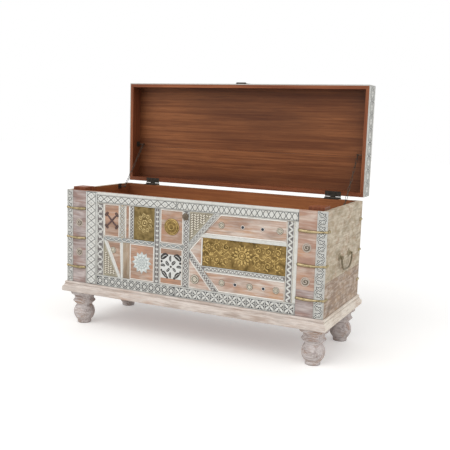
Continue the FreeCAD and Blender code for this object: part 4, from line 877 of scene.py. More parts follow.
@dataclass
class Carving:
    """Carved forms gathered over one side, each a closed solid sunk a little into what carries it.

    The level is the height of the carrying face along the side's out direction, and the groove is the width of the
    dark cut that is laid round each raised form, both in millimetres. That cut is a low dark band that paints the dirt
    and the shade of a sunk cut.
    """

    side: Side
    level: float
    groove: float = 0.0
    points: list[Vector] = field(default_factory=list)
    faces: list[tuple] = field(default_factory=list)
    kinds: list[int] = field(default_factory=list)
    smooth: list[bool] = field(default_factory=list)

    def cut_height(self) -> float:
        """A low height for the next dark cut, changed a little from the last one's."""
        return CUT_RISE + CUT_STEP * (len(self.faces) % CUT_LEVELS)

    def add(self, places: Iterable[tuple], faces: Iterable[tuple], kind: Kind, smooth: bool = True) -> None:
        """Take in a form.

        Args:
            places: Its points in u, v and h, where h counts from the carrying face.
            faces: Its faces as tuples of point numbers.
            kind: Its finish.
            smooth: True shades it smooth.
        """
        start = len(self.points)
        self.points += [self.side.place(u, v, self.level + h) for u, v, h in places]
        for face in faces:
            self.faces.append(tuple(start + index for index in face))
            self.kinds.append(kind.value)
            self.smooth.append(smooth)

    def sweep(
        self, path: Sequence[Point], widths: Sequence[float], heights: Sequence[float], closed: bool, kind: Kind
    ) -> None:
        """A form along a path, rounded, or nearly flat where it is a cut.

        Args:
            path: Points in u and v.
            widths: Its width at each point.
            heights: Its height at each point.
            closed: True joins its end to its start.
            kind: Its finish.
        """
        side, rise_there = (0.49, 0.9) if kind is Kind.CUT else (0.38, 0.72)
        profile = ((0.5, None), (side, rise_there), (0.0, 1.0), (-side, rise_there), (-0.5, None))
        places: list[tuple] = []
        for index, ((u, v), width, height) in enumerate(zip(path, widths, heights)):
            before, after = neighbours(path, index, closed)
            du, dv = after[0] - before[0], after[1] - before[1]
            size = math.hypot(du, dv) or 1.0
            nu, nv = -dv / size * width, du / size * width
            for across, rise in profile:
                places.append((u + nu * across, v + nv * across, -SINK if rise is None else rise * height))
        self.add(places, [face[::-1] for face in tube_faces(len(path), len(profile), closed)], kind)

    def rib(
        self,
        path: Sequence[Point],
        width: float,
        height: float,
        closed: bool = False,
        swell: Sequence[float] | None = None,
        kind: Kind = Kind.RAISED,
    ) -> None:
        """A rounded rib along a path, in its dark cut.

        Args:
            path: Points in u and v.
            width: Its width.
            height: Its height.
            closed: True joins its end to its start.
            swell: Share of the width and height at each point, all full where it isn't given.
            kind: Its finish.
        """
        shares = swell or [1.0] * len(path)
        # A dark band round the form: dirt and painted shade of its cut.
        if self.groove and kind is Kind.RAISED:
            longer = path if closed else lengthened(path, self.groove)
            wider = [width * share + 2 * self.groove for share in shares]
            self.sweep(longer, wider, [self.cut_height()] * len(path), closed, Kind.CUT)
        self.sweep(path, [width * share for share in shares], [height * share for share in shares], closed, kind)

    def petal(self, centre: Point, angle: float, length: float, width: float, height: float) -> None:
        """A leaf-shaped form that starts at a point and ends in a tip.

        Args:
            centre: Where it starts.
            angle: Its direction.
            length: Its length.
            width: Its greatest width.
            height: Its greatest height.
        """
        shares = [0.12, 0.66, 0.96, 1.0, 0.74, 0.12]
        path = [polar(centre, length * step / (len(shares) - 1), angle) for step in range(len(shares))]
        self.rib(path, width, height, swell=shares)

    def ring(self, centre: Point, radius: float, width: float, height: float) -> None:
        """A rounded ring."""
        self.rib(circle(centre, radius, max(10, round(radius * 1.6))), width, height, closed=True)

    def dome(self, centre: Point, radius: float, height: float, kind: Kind = Kind.RAISED, sides: int = 14) -> None:
        """A round button in its dark cut.

        Args:
            centre: Its middle.
            radius: Its radius.
            height: Its height.
            kind: Its finish.
            sides: Facets round it.
        """
        # A dark band round the button: dirt and painted shade of its cut.
        if self.groove and kind is Kind.RAISED:
            self.dome(centre, radius + self.groove, self.cut_height(), Kind.CUT, sides)
        rows = ((1.0, None), (0.98, 0.25), (0.82, 0.62), (0.5, 0.9))
        places = []
        for share, rise in rows:
            lift = -SINK if rise is None else rise * height
            places += [(u, v, lift) for u, v in circle(centre, radius * share, sides)]
        places.append((*centre, height))
        faces = [tuple(reversed(range(sides)))]
        for row in range(len(rows) - 1):
            faces += belt(row * sides, (row + 1) * sides, sides)
        last = (len(rows) - 1) * sides
        faces += [(last + step, last + (step + 1) % sides, len(places) - 1) for step in range(sides)]
        self.add(places, faces, kind)

    def block(
        self, outline: Sequence[Point], height: float, bevel: float, kind: Kind = Kind.RAISED, peak: bool = False
    ) -> None:
        """A flat-topped or pointed form over a closed outline, in its dark cut.

        Args:
            outline: Its foot, counter-clockwise.
            height: Its height.
            bevel: How far its top stands in from its foot.
            kind: Its finish.
            peak: True brings it to a point over its middle.
        """
        # A dark band round the form: dirt and painted shade of its cut.
        if self.groove and kind is Kind.RAISED:
            self.block(inset(outline, -self.groove), self.cut_height(), 0.1, Kind.CUT)
        count = len(outline)
        middle = (sum(u for u, _ in outline) / count, sum(v for _, v in outline) / count)
        places = [(u, v, -SINK) for u, v in outline] + [(u, v, 0.35 * height) for u, v in outline]
        faces = [tuple(reversed(range(count))), *belt(0, count, count)]
        top = count
        if not peak:
            for u, v in outline:
                reach = math.hypot(u - middle[0], v - middle[1]) or 1.0
                share = max(0.0, 1 - bevel / reach)
                places.append((middle[0] + (u - middle[0]) * share, middle[1] + (v - middle[1]) * share, height))
            faces += belt(count, 2 * count, count)
            top = 2 * count
        faces += [(top + step, top + (step + 1) % count, top + count) for step in range(count)]
        self.add([*places, (*middle, height)], faces, kind, smooth=False)

    def flower(self, centre: Point, radius: float, petals: int, height: float, heart: float = 0.26) -> None:
        """Petals round a button.

        Args:
            centre: Its middle.
            radius: Its reach.
            petals: How many petals.
            height: Height of the button; the petals are lower.
            heart: The button's share of the radius.
        """
        width = min(0.75 * radius, 1.15 * math.pi * radius / petals)
        for spot in circle(centre, 0.2 * radius, petals):
            angle = math.atan2(spot[1] - centre[1], spot[0] - centre[0])
            self.petal(spot, angle, 0.8 * radius, width, 0.8 * height)
        self.dome(centre, heart * radius, height)

    def piece(self, name: str, finishes: Sequence[Finish]) -> bpy.types.Object:
        """Make one mesh object of all forms.

        Args:
            name: Name of the piece.
            finishes: Its finishes, in the order of Kind.

        Returns:
            The object.
        """
        made = new_object(name, self.points, self.faces, finishes, self.kinds)
        made.data.polygons.foreach_set("use_smooth", self.smooth)
        return made


def belt(low: int, high: int, count: int) -> list[tuple]:
    """The faces between two closed rows of points.

    Args:
        low: Number of the lower row's first point.
        high: Number of the upper row's first point.
        count: Points in each row.

    Returns:
        One face for each step.
    """
    return [(low + step, low + (step + 1) % count, high + (step + 1) % count, high + step) for step in range(count)]


def tube_faces(rows: int, sides: int, closed: bool = False) -> list[tuple]:
    """The faces of a tube whose points lie in rows round it.

    Args:
        rows: How many rows it has along its length.
        sides: Points in each row.
        closed: True where its end meets its start; else both ends get a face.

    Returns:
        The faces, each as a tuple of point numbers.
    """
    faces = []
    for row in range(rows if closed else rows - 1):
        faces += belt(row * sides, (row + 1) % rows * sides, sides)
    if not closed:
        faces += [tuple(reversed(range(sides))), tuple(range((rows - 1) * sides, rows * sides))]
    return faces


def polar(centre: Point, radius: float, angle: float) -> Point:
    """The point at a distance and an angle from a centre."""
    return centre[0] + radius * math.cos(angle), centre[1] + radius * math.sin(angle)


def angles(count: int, start: float = 0.0) -> list[float]:
    """Angles that part a full turn evenly, from the first one on."""
    return [start + FULL_TURN * step / count for step in range(count)]


def circle(centre: Point, radius: float, sides: int, start: float = 0.0) -> Outline:
    """Points round a circle, counter-clockwise."""
    return [polar(centre, radius, angle) for angle in angles(sides, start)]


def spiral(centre: Point, radius: float, start: float, turns: float, inner: float, steps: int) -> Outline:
    """Points of a spiral that winds in.

    Args:
        centre: Its middle.
        radius: Its outer radius.
        start: Angle of its outer end.
        turns: Turns, negative for clockwise.
        inner: Share of the radius where it ends.
        steps: Number of runs.

    Returns:
        The points, from the outer end inward.
    """
    path = []
    for step in range(steps + 1):
        share = step / steps
        path.append(polar(centre, radius * (1 - share * (1 - inner)), start + FULL_TURN * turns * share))
    return path


def rectangle(left: float, right: float, bottom: float, top: float) -> Outline:
    """An upright rectangle, counter-clockwise."""
    return [(left, bottom), (right, bottom), (right, top), (left, top)]


def holds(outline: Sequence[Point], point: Point, room: float) -> bool:
    """True where a point lies inside a convex or simple outline and clear of its sides.

    Args:
        outline: The closed outline.
        point: The point.
        room: Least distance to every side.

    Returns:
        Whether it does.
    """
    u, v = point
    inside = False
    for (au, av), (bu, bv) in sides_of(outline):
        if (av > v) != (bv > v) and u < (bu - au) * (v - av) / (bv - av) + au:
            inside = not inside
        if room:
            size = math.dist((au, av), (bu, bv))
            share = max(0.0, min(1.0, ((u - au) * (bu - au) + (v - av) * (bv - av)) / size**2))
            if math.dist(point, (au + share * (bu - au), av + share * (bv - av))) < room:
                return False
    return inside


def inset(outline: Sequence[Point], distance: float) -> Outline:
    """Move every side of an outline in.

    Args:
        outline: A closed outline, counter-clockwise.
        distance: How far; less than nought moves the sides out.

    Returns:
        The smaller or larger outline.
    """
    moved = []
    count = len(outline)
    for index in range(count):
        (au, av), (bu, bv), (cu, cv) = outline[index - 1], outline[index], outline[(index + 1) % count]
        first, second = math.dist((au, av), (bu, bv)), math.dist((bu, bv), (cu, cv))
        nu, nv = -(bv - av) / first, (bu - au) / first
        mu, mv = -(cv - bv) / second, (cu - bu) / second
        share = distance / max(0.2, 1 + nu * mu + nv * mv)
        moved.append((bu + (nu + mu) * share, bv + (nv + mv) * share))
    return moved


# Patterns for strips and borders


class Motif(Enum):
    """The patterns that the strips are carved with, each named for its method."""

    LOZENGES = "lozenges"
    SCALES = "scales"
    MEDALLIONS = "medallions"
    CROSSED_LEAVES = "crossed_leaves"
    SCROLLS = "scrolls"
    WAVES = "waves"
    BRAIDS = "braids"
    ZIGZAGS = "zigzags"
    LEAVES = "leaves"
    BEADS = "beads"


@dataclass(frozen=True)
class Cut:
    """How a strip is carved, in millimetres: its cells and lines, the cut round each form, and the floor between."""

    motif: Motif
    pitch: float
    line: float = 2.6
    height: float = 1.2
    edge: float = 2.6
    groove: float = 1.3
    floor: Kind | None = None


@dataclass
class Strip:
    """One strip being carved: s runs along its middle and t across it, both from its centre.

    The margin is what stays free between its side and its floor, and between its edge line and its pattern.
    """

    carving: Carving
    outline: Outline
    cut: Cut
    margin: float = 0.4

    def __post_init__(self) -> None:
        """Take the longest side of the outline as the strip's direction."""
        start, end = max(sides_of(self.outline), key=lambda pair: math.dist(*pair))
        size = math.dist(start, end)
        du, dv = (end[0] - start[0]) / size, (end[1] - start[1]) / size
        if du < -0.001 or (abs(du) <= 0.001 and dv < 0):
            du, dv = -du, -dv
        self.direction, self.angle = (du, dv), math.atan2(dv, du)
        along = [u * du + v * dv for u, v in self.outline]
        across = [-u * dv + v * du for u, v in self.outline]
        self.length, self.width = max(along) - min(along), max(across) - min(across)
        middle, aside = (max(along) + min(along)) / 2, (max(across) + min(across)) / 2
        self.centre = (middle * du - aside * dv, middle * dv + aside * du)
        self.half = self.width / 2 - self.cut.edge - self.margin
        self.places, self.pitch = self.cells()

    @property
    def ends(self) -> Point:
        """Where the first cell starts and where the last one ends."""
        return self.places[0] - self.pitch / 2, self.places[-1] + self.pitch / 2

    def at(self, s: float, t: float) -> Point:
        """The point in u and v."""
        du, dv = self.direction
        return self.centre[0] + s * du - t * dv, self.centre[1] + s * dv + t * du

    def run(self, t: float, room: float = 0.0, steps: int = 240) -> tuple[float, float]:
        """The part of one line along the strip that lies inside it.

        Args:
            t: Where the line runs.
            room: Room left at both ends.
            steps: How many places are tried.

        Returns:
            Its least and its greatest s.
        """
        tried = [self.length * (step / steps - 0.5) for step in range(steps + 1)]
        inside = [s for s in tried if holds(self.outline, self.at(s, t), 0.0)]
        if not inside:
            return 0.0, 0.0
        return min(inside) + room, max(inside) - room

    def cells(self) -> tuple[list[float], float]:
        """Space the cells evenly over the part of the strip that has its full width.

        Returns:
            The cells' middles, none where the strip is too short for one, and their true spacing.
        """
        lows, highs = zip(self.run(self.half, 1.0), self.run(-self.half, 1.0))
        low, high = max(lows), min(highs)
        if high - low < 0.6 * self.cut.pitch:
            return [], self.cut.pitch
        count = max(1, round((high - low) / self.cut.pitch))
        spacing = (high - low) / count
        return [low + spacing * (index + 0.5) for index in range(count)], spacing

    def line(self, points: Iterable[Point], share: float = 1.0) -> None:
        """A raised line through places in s and t, its width a share of the strip's usual line."""
        self.carving.rib([self.at(*point) for point in points], share * self.cut.line, self.cut.height)

    def form(self, points: Sequence[Point], rise: float = 1.0, kind: Kind = Kind.RAISED, peak: bool = False) -> None:
        """A raised form over an outline on the strip.

        Args:
            points: Its outline in s and t.
            rise: Its height as a share of the strip's usual height.
            kind: Its finish.
            peak: True brings it to a point.
        """
        outline = [self.at(*point) for point in points]
        if area_of(outline) < 0:
            outline.reverse()
        self.carving.block(outline, rise * self.cut.height, 0.7, kind, peak)

    def leaf(self, s: float, t: float, lean: float, length: float, width: float) -> None:
        """A leaf that starts at a place and leans from the strip's direction by an angle."""
        self.carving.petal(self.at(s, t), self.angle + lean, length, width, self.cut.height)

    def dot(self, s: float, t: float, radius: float) -> None:
        """A round button at a place."""
        self.carving.dome(self.at(s, t), radius, 1.15 * self.cut.height, sides=10)

    def seams(self) -> list[float]:
        """Where two cells meet."""
        return [s - self.pitch / 2 for s in self.places[1:]]

    def work(self) -> None:
        """Lay the floor of the cuts, the lines along both long sides and the pattern."""
        carving, cut = self.carving, self.cut
        # The floor between the forms, where it is dark, is dirt and painted shade of the sunk ground.
        if cut.floor:
            carving.block(inset(self.outline, self.margin), FLOOR_RISE, 0.1, cut.floor)
        aside = self.width / 2 - cut.edge / 2 - self.margin / 2
        for t in (-aside, aside):
            low, high = self.run(t, self.margin)
            if high > low:
                carving.rib([self.at(low, t), self.at(high, t)], cut.edge, cut.height)
        if self.places:
            carving.groove = 0.0 if cut.floor is Kind.CUT else cut.groove
            getattr(self, cut.motif.value)()
        carving.groove = 0.0

    def lozenges(self) -> None:
        """Lozenges with a stained heart, and wedges that fill the corners between them."""
        gap = self.cut.groove
        for s in self.places:
            self.form(inset(lozenge((s, 0), self.pitch / 2, self.half), gap))
            self.form(lozenge((s, 0), 0.3 * self.pitch, 0.6 * self.half), 1.25, Kind.ACCENT, True)
        for s in (*self.seams(), *self.ends):
            left, right = max(s - self.pitch / 2, self.ends[0]), min(s + self.pitch / 2, self.ends[1])
            for sign in (-1, 1):
                wedge = [(s, 0), (right, sign * self.half), (left, sign * self.half)]
                self.form(inset(wedge if sign > 0 else wedge[::-1], gap), peak=True)

    def scales(self) -> None:
        """Pointed eyes in a row and scallops over and under them, as two crossing waves part a strip."""
        arc = [step / 8 - 0.5 for step in range(9)]
        for s in self.places:
            under = [(s + self.pitch * x, -self.half * math.cos(math.pi * x)) for x in arc]
            over = [(s + self.pitch * x, self.half * math.cos(math.pi * x)) for x in arc[-2:0:-1]]
            self.form(inset(under + over, self.cut.groove))
        low, high = self.ends
        for s in (*self.seams(), low, high):
            for sign in (-1, 1):
                reach = [max(low, min(high, s + 0.86 * self.pitch * x)) for x in arc]
                edge = [(x, sign * self.half * abs(math.sin(math.pi * (x - s) / self.pitch))) for x in reach]
                corners = [(s, sign * self.half)] if s in (low, high) else []
                edge = sorted({*edge, *corners}) if s == high else [*corners, *sorted({*edge})]
                self.form(inset(edge if sign > 0 else edge[::-1], 0.6 * self.cut.groove))

    def medallions(self) -> None:
        """White rings on a dark floor, a flower with a dark eye in each, and wedges between them."""
        radius = min(self.half, 0.48 * self.pitch)
        inner = radius - self.cut.line
        for s in self.places:
            centre = self.at(s, 0)
            self.carving.ring(centre, radius - 0.5 * self.cut.line, self.cut.line, self.cut.height)
            for spot in circle(centre, 0.42 * inner, 6, self.angle):
                self.carving.dome(spot, 0.3 * inner, 0.9 * self.cut.height, sides=8)
            self.carving.dome(centre, 0.42 * inner, self.cut.height, sides=10)
            self.carving.dome(centre, 0.24 * inner, 1.1 * self.cut.height, Kind.CUT, 8)
        wedge_half = 7
        for s in self.seams():
            for sign in (-1, 1):
                edge = sign * self.half
                self.form([(s, 0.38 * edge), (s + sign * wedge_half, edge), (s - sign * wedge_half, edge)])

    def crossed_leaves(self) -> None:
        """Four broad leaves crossed between upright bars, the ground stained dark round them."""
        wide, tall = 0.5 * self.pitch - 1.6, self.half
        lean, reach = math.atan2(tall, wide), math.hypot(tall, wide)
        for s in self.places:
            for angle in (lean, math.pi - lean, -lean, math.pi + lean):
                self.leaf(s, 0, angle, 0.98 * reach, 0.62 * tall)
            for sign in (-1, 1):
                self.leaf(s, sign * tall, -sign * math.pi / 2, 0.5 * tall, 0.34 * tall)
                self.dot(s + sign * 0.74 * wide, 0, 0.17 * tall)
        for s in [self.ends[0], *(s + self.pitch / 2 for s in self.places)]:
            self.line([(s, -tall), (s, tall)])

    def wave(self, turns: float, phase: float, reach: float) -> None:
        """A wavy line from end to end.

        Args:
            turns: Full waves in each cell.
            phase: Where it starts, in turns.
            reach: Its swing as a share of half the strip.
        """
        steps = 10
        path = []
        for index in range(len(self.places) * steps + 1):
            s = self.ends[0] + self.pitch * index / steps
            path.append((s, reach * self.half * math.sin(FULL_TURN * (turns * index / steps + phase))))
        self.line(path)

    def scrolls(self) -> None:
        """A winding stem with a curl and a leaf in every bend."""
        self.wave(0.5, 0.25, 0.86)
        for index, s in enumerate(self.places):
            sign = -1 if index % 2 else 1
            curl = spiral((s, -0.3 * sign * self.half), 0.44 * self.half, 0.0, 1.05 * sign, 0.3, 9)
            self.line(curl, 0.85)
            self.leaf(s, 0.15 * sign * self.half, 0.9 * sign, 0.62 * self.half, 0.34 * self.half)

    def waves(self) -> None:
        """A white wave in a dark cut with a white bead over every crest and under every trough."""
        swing = 0.62
        self.wave(1, 0.0, swing)
        for s in self.places:
            for shift, sign in ((-0.25, 1), (0.25, -1)):
                self.dot(s + shift * self.pitch, swing * sign * self.half, 0.34 * self.half)

    def braids(self) -> None:
        """Two strands laid over each other."""
        self.wave(0.5, 0.25, 0.9)
        self.wave(0.5, 0.75, 0.9)
        for s in self.seams():
            self.dot(s, 0, 0.3 * self.half)

    def zigzags(self) -> None:
        """Wedges that stand and hang in turn."""
        for s in self.places:
            up = [(s - 0.5 * self.pitch, -self.half), (s + 0.5 * self.pitch, -self.half), (s, self.half)]
            self.form(inset(up, self.cut.groove), peak=True)
        for s in self.seams():
            down = [(s, -self.half), (s + 0.5 * self.pitch, self.half), (s - 0.5 * self.pitch, self.half)]
            self.form(inset(down, self.cut.groove), peak=True)

    def leaves(self) -> None:
        """Paired leaves along a middle rib."""
        low, high = self.run(0.0, 1.0)
        self.line([(low, 0), (high, 0)], 0.6)
        for s in self.places:
            for sign in (-1, 1):
                lean = sign * math.atan2(self.half, 0.75 * self.pitch)
                self.leaf(s - 0.4 * self.pitch, 0, lean, 1.05 * self.half, 0.42 * self.pitch)

    def beads(self) -> None:
        """Two rows of beads staggered along the strip."""
        radius = min(0.48 * self.half, 0.36 * self.pitch)
        for s in self.places:
            self.dot(s - 0.25 * self.pitch, 0.46 * self.half, radius)
            self.dot(s + 0.25 * self.pitch, -0.46 * self.half, radius)


def lozenge(centre: Point, reach: float, rise: float) -> Outline:
    """A lozenge about a centre, counter-clockwise."""
    s, t = centre
    return [(s + reach, t), (s, t + rise), (s - reach, t), (s, t - rise)]


def carved_node(
    node: str, side: Side, cuts: Sequence[Cut], ground: Finish, finishes: Sequence[Finish], name: str, body: str = "box"
) -> bpy.types.Object:
    """Carve the strips of one CAD node and dress the node as their ground.

    Args:
        node: The CAD node.
        side: The side that is carved.
        cuts: Pattern of each strip in turn, from low u to high u, repeated where there are more.
        ground: Finish of the node.
        finishes: Finishes of the raised forms, of the cuts round them and of the stained parts.
        name: Name of the new piece.
        body: The CAD body that it rides on.

    Returns:
        The carved piece.
    """
    faces = flats(node, side)
    carving = Carving(side, faces[0].level)
    for index, flat in enumerate(faces):
        Strip(carving, flat.outline, cuts[index % len(cuts)]).work()
    dress(ground, node)
    return mount(carving.piece(name, finishes), body, "carved_wood")


# Sub-assemblies


@dataclass
class Studio:
    """Pale floor, soft light and the camera at the photograph's angle."""

    place: tuple[float, float, float] = (1.23547, -2.46838, 0.82663)
    yaw: float = 0.45164
    pitch: float = -0.14606
    roll: float = 0.03143
    focal_pixels: float = 706.3
    frame_pixels: float = 450.0
    film: float = 36.0
    floor_half: float = 14.0
    lamps: tuple[tuple[str, float, float, tuple[float, float, float]], ...] = (
        ("key", 1.0, 50, (0.3, 0.8, -0.8)),
        ("fill", 0.55, 80, (-0.85, 0.4, -0.45)),
    )

    def camera(self) -> None:
        """The camera that the photograph was taken with."""
        ahead, rise = math.cos(self.pitch), math.sin(self.pitch)
        forward = Vector((-math.sin(self.yaw) * ahead, math.cos(self.yaw) * ahead, rise))
        level = Vector((math.cos(self.yaw), math.sin(self.yaw), 0))
        upright = level.cross(forward)
        right = level * math.cos(self.roll) + upright * math.sin(self.roll)
        up = upright * math.cos(self.roll) - level * math.sin(self.roll)
        lens = bpy.data.cameras.new("camera")
        lens.sensor_fit = "HORIZONTAL"
        lens.sensor_width = self.film
        lens.lens = self.focal_pixels / self.frame_pixels * self.film
        lens.clip_end = 60
        viewer = linked("camera", lens)
        turn = Matrix((right, up, -forward)).transposed().to_4x4()
        viewer.matrix_world = Matrix.Translation(Vector(self.place)) @ turn
        bpy.context.scene.camera = viewer

    def seen_share(self, tree: Tree) -> Socket:
        """A value that parts what is seen of the studio from the light that it throws on the object.

        Args:
            tree: The node tree.

        Returns:
            One for rays from the camera, from gloss and through glass, nought for the rest.
        """
        rays = add_node(tree, "ShaderNodeLightPath").outputs
        seen = rays["Is Camera Ray"]
        for other in ("Is Glossy Ray", "Is Transmission Ray"):
            seen = add_node(tree, "ShaderNodeMath", {0: seen, 1: rays[other]}, operation="MAXIMUM").outputs[0]
        return seen

    def floor(self) -> None:
        """A plain pale floor that keeps the chest's shadow."""
        half = self.floor_half
        corners = [(-half, -half, 0), (half, -half, 0), (half, half, 0), (-half, half, 0)]
        material = bpy.data.materials.new("pale studio floor")
        tree = emptied(material)
        paint = add_node(tree, "ShaderNodeBsdfDiffuse", {"Color": linear("f2f1ee")})
        lift = add_node(tree, "ShaderNodeEmission", {"Color": linear("ffffff"), "Strength": 0.28})
        dark = add_node(tree, "ShaderNodeEmission", {"Color": linear("000000"), "Strength": 0.0})
        parts = {0: self.seen_share(tree), 1: dark.outputs[0], 2: lift.outputs[0]}
        seen = add_node(tree, "ShaderNodeMixShader", parts)
        both = add_node(tree, "ShaderNodeAddShader", {0: paint.outputs[0], 1: seen.outputs[0]})
        add_node(tree, "ShaderNodeOutputMaterial", {"Surface": both.outputs[0]})
        mesh = bpy.data.meshes.new("floor")
        mesh.from_pydata(corners, [], [(0, 1, 2, 3)])
        mesh.materials.append(material)
        linked("floor", mesh)

    def light(self) -> None:
        """An even dome, a broad key from the left front and a weak fill from the right."""
        world = bpy.data.worlds.new("studio")
        tree = emptied(world)
        dome = add_node(tree, "ShaderNodeBackground", {"Color": linear("fdfdff"), "Strength": 0.64})
        white = add_node(tree, "ShaderNodeBackground", {"Color": linear("ffffff"), "Strength": 1.0})
        parts = {0: self.seen_share(tree), 1: dome.outputs[0], 2: white.outputs[0]}
        mixed = add_node(tree, "ShaderNodeMixShader", parts)
        add_node(tree, "ShaderNodeOutputWorld", {"Surface": mixed.outputs[0]})
        bpy.context.scene.world = world
        for name, energy, spread, direction in self.lamps:
            lamp = bpy.data.lights.new(name, "SUN")
            lamp.energy = energy
            lamp.angle = math.radians(spread)
            linked(name, lamp).rotation_euler = Vector(direction).to_track_quat("-Z", "Y").to_euler()

    def build(self) -> None:
        """Set up camera, floor and light."""
        bpy.context.scene.view_settings.view_transform = "Standard"
        self.camera()
        self.floor()
        self.light()


@dataclass
class Carcass:
    """Boards, posts, floor and plinth; the height is where the ends' two lower planks meet, in metres."""

    lowest_joint: float = 0.298

    def build(self) -> None:
        """Dress the boards that stay as they are."""
        dress(RED_DEEP, "front_board", "floor_board", "foot_blocks")
        dress(TwoFinishes("back board, oiled inside", BACK_WASH, RED_DEEP, (0, -1, 0)), "back_board")
        planks = TwoFinishes("end planks of two trees", END_LOW, END_WASH, (0, 0, 1), self.lowest_joint, Parting.LIES)
        dress(TwoFinishes("right end planks, oiled inside", planks, RED_END, (-1, 0, 0)), "end_planks_right")
        dress(TwoFinishes("left end planks, oiled inside", planks, RED_END, (1, 0, 0)), "end_planks_left")
        dress(RED_UPRIGHT, "corner_posts")
        dress(PLINTH_WASH, "plinth_rails_long")
        dress(PLINTH_END_PAINTED_LIGHT, "plinth_rails_short")


@dataclass
class TurnedFeet:
    """Four turned feet: a pad, a ball, a ring, a cove and a disc under the plinth, in millimetres."""

    pad_radius: float = 27
    pad_edge: float = 1.5
    ball_radius: float = 42
    ball_height: float = 45
    neck_radius: float = 30
    disc_radius: float = 53
    height: float = 136
    upper_shares: tuple[Point, ...] = (
        (0.8, 0.655), (0.84, 0.675), (0.78, 0.705), (0.72, 0.73), (0.71, 0.755), (0.73, 0.8), (0.77, 0.84),
        (0.82, 0.86), (0.97, 0.885), (1.0, 0.91), (1.0, 0.985), (0.985, 1.0),
    )
    ball_steps: int = 26

    def profile(self) -> list[Point]:
        """The line that a foot is turned to.

        Returns:
            Radius and height at each point, from the pad to the disc.
        """
        low = -math.acos(self.pad_radius / self.ball_radius)
        high = math.acos(self.neck_radius / self.ball_radius)
        start = self.ball_height + self.ball_radius * math.sin(low)
        radius, edge = self.pad_radius, self.pad_edge
        points = [(0.001, 0.0), (radius - edge, 0.0), (radius, edge), (radius, start - 1.0)]
        for step in range(self.ball_steps + 1):
            points.append(polar((0, self.ball_height), self.ball_radius, low + (high - low) * step / self.ball_steps))
        points.append((self.neck_radius, points[-1][1] + 2.0))
        points += [(share * self.disc_radius, rise * self.height) for share, rise in self.upper_shares]
        return points + [(0.001, self.height)]

    def build(self) -> None:
        """Turn the four feet, a pair for each CAD node."""
        for end in ("front", "back"):
            node = f"feet_{end}"
            centres = [Vector((solid.centre.x, solid.centre.y, 0)) for solid in solids(node)]
            places, faces = joined(turned(self.profile(), centre) for centre in centres)
            mount(new_object(f"turned_{node}", places, faces, [FOOT_WASH]), "box", "washed_wood", node)


@dataclass
class FieldBorders:
    """The carved borders round the front field."""

    turn_over: float = -38.0
    gap: float = 0.6
    top_band: float = 9.0
    bottom_band: float = 2.0

    def levels(self) -> None:
        """The top border of lozenges and scales, the bottom one of flowers and crossed leaves."""
        bottom, top = sorted(flats("borders_level", FRONT), key=lambda flat: flat.low[1])
        carving = Carving(FRONT, top.level)
        flowers, leaves = Cut(Motif.MEDALLIONS, 30, 3.2), Cut(Motif.CROSSED_LEAVES, 35, 3.4)
        lozenges, scales = Cut(Motif.LOZENGES, 31, groove=1.1), Cut(Motif.SCALES, 21, groove=1.2)
        for flat, band, cuts in (
            (bottom, self.bottom_band, (flowers, leaves)),
            (top, self.top_band, (lozenges, scales)),
        ):
            (left, low), (right, high) = flat.low, flat.high
            ends = ((left, self.turn_over - self.gap), (self.turn_over + self.gap, right))
            for (start, end), cut in zip(ends, cuts):
                Strip(carving, rectangle(start, end, low, high - band), replace(cut, floor=Kind.CUT)).work()
                carving.block(rectangle(start, end, high - band + 0.4, high), 1.0, 0.6)
        dress(WHITE_GROUND, "borders_level")
        mount(carving.piece("border_carvings", WHITE_DRESS), "box", "carved_wood")

    def build(self) -> None:
        """Carve all borders."""
        self.levels()
        lattice = Cut(Motif.LOZENGES, 27, height=0.8, edge=6.0, groove=1.05, floor=Kind.CUT)
        carved_node("border_lattice", FRONT, [lattice], WHITE_GROUND, WHITE_DRESS, "lattice_carving")
        scrolls = Cut(Motif.SCROLLS, 20, 4.8, edge=3.4, floor=Kind.CUT)
        cuts = [scrolls, replace(scrolls, motif=Motif.WAVES, pitch=21, line=6.8)]
        finishes = [WHITE_RAISED, SLATE_CUT_SHADE, CREAM_GROUND]
        carved_node("border_scrolls", FRONT, cuts, CREAM_RAISED, finishes, "scroll_carvings")
        dress(WHITE_RAISED, "border_edge")


@dataclass
class FieldStrips:
    """The narrow carved strips that part the panels."""

    line: float = 3.2
    height: float = 1.1
    edge: float = 2.4
    groove: float = 1.3

    def cut(self, motif: Motif, pitch: float, floor: Kind | None = None) -> Cut:
        """A pattern in the fine cut of these strips."""
        return Cut(motif, pitch, self.line, self.height, self.edge, self.groove, floor)

    def build(self) -> None:
        """Carve every strip."""
        pale, blue = [WHITE_RAISED, SLATE_CUT_SHADE, CREAM_GROUND], [WHITE_RAISED, SLATE_CUT_SHADE, BLUE_GROUND]
        braids, leaves = self.cut(Motif.BRAIDS, 20, Kind.CUT), self.cut(Motif.LEAVES, 17, Kind.CUT)
        beads, curls = self.cut(Motif.BEADS, 12, Kind.CUT), self.cut(Motif.SCROLLS, 19)
        white = replace(braids, floor=None)
        for node, cuts, ground, finishes, name in (
            ("strips_upright_long", [leaves, braids], BLUE_GROUND, pale, "upright_strip_carvings"),
            ("strips_upright_short", [white, beads], CREAM_GROUND, blue, "short_strip_carvings"),
            ("strips_level", [curls], BLUE_GROUND, blue, "level_strip_carvings"),
            ("strips_chevron", [beads, white], WHITE_GROUND, blue, "chevron_strip_carvings"),
            ("strip_zigzag", [self.cut(Motif.ZIGZAGS, 16, Kind.CUT)], WHITE_GROUND, blue, "zigzag_carving"),
        ):
            carved_node(node, FRONT, cuts, ground, finishes, name)
        dress(WHITE_RAISED, "plain_beads")


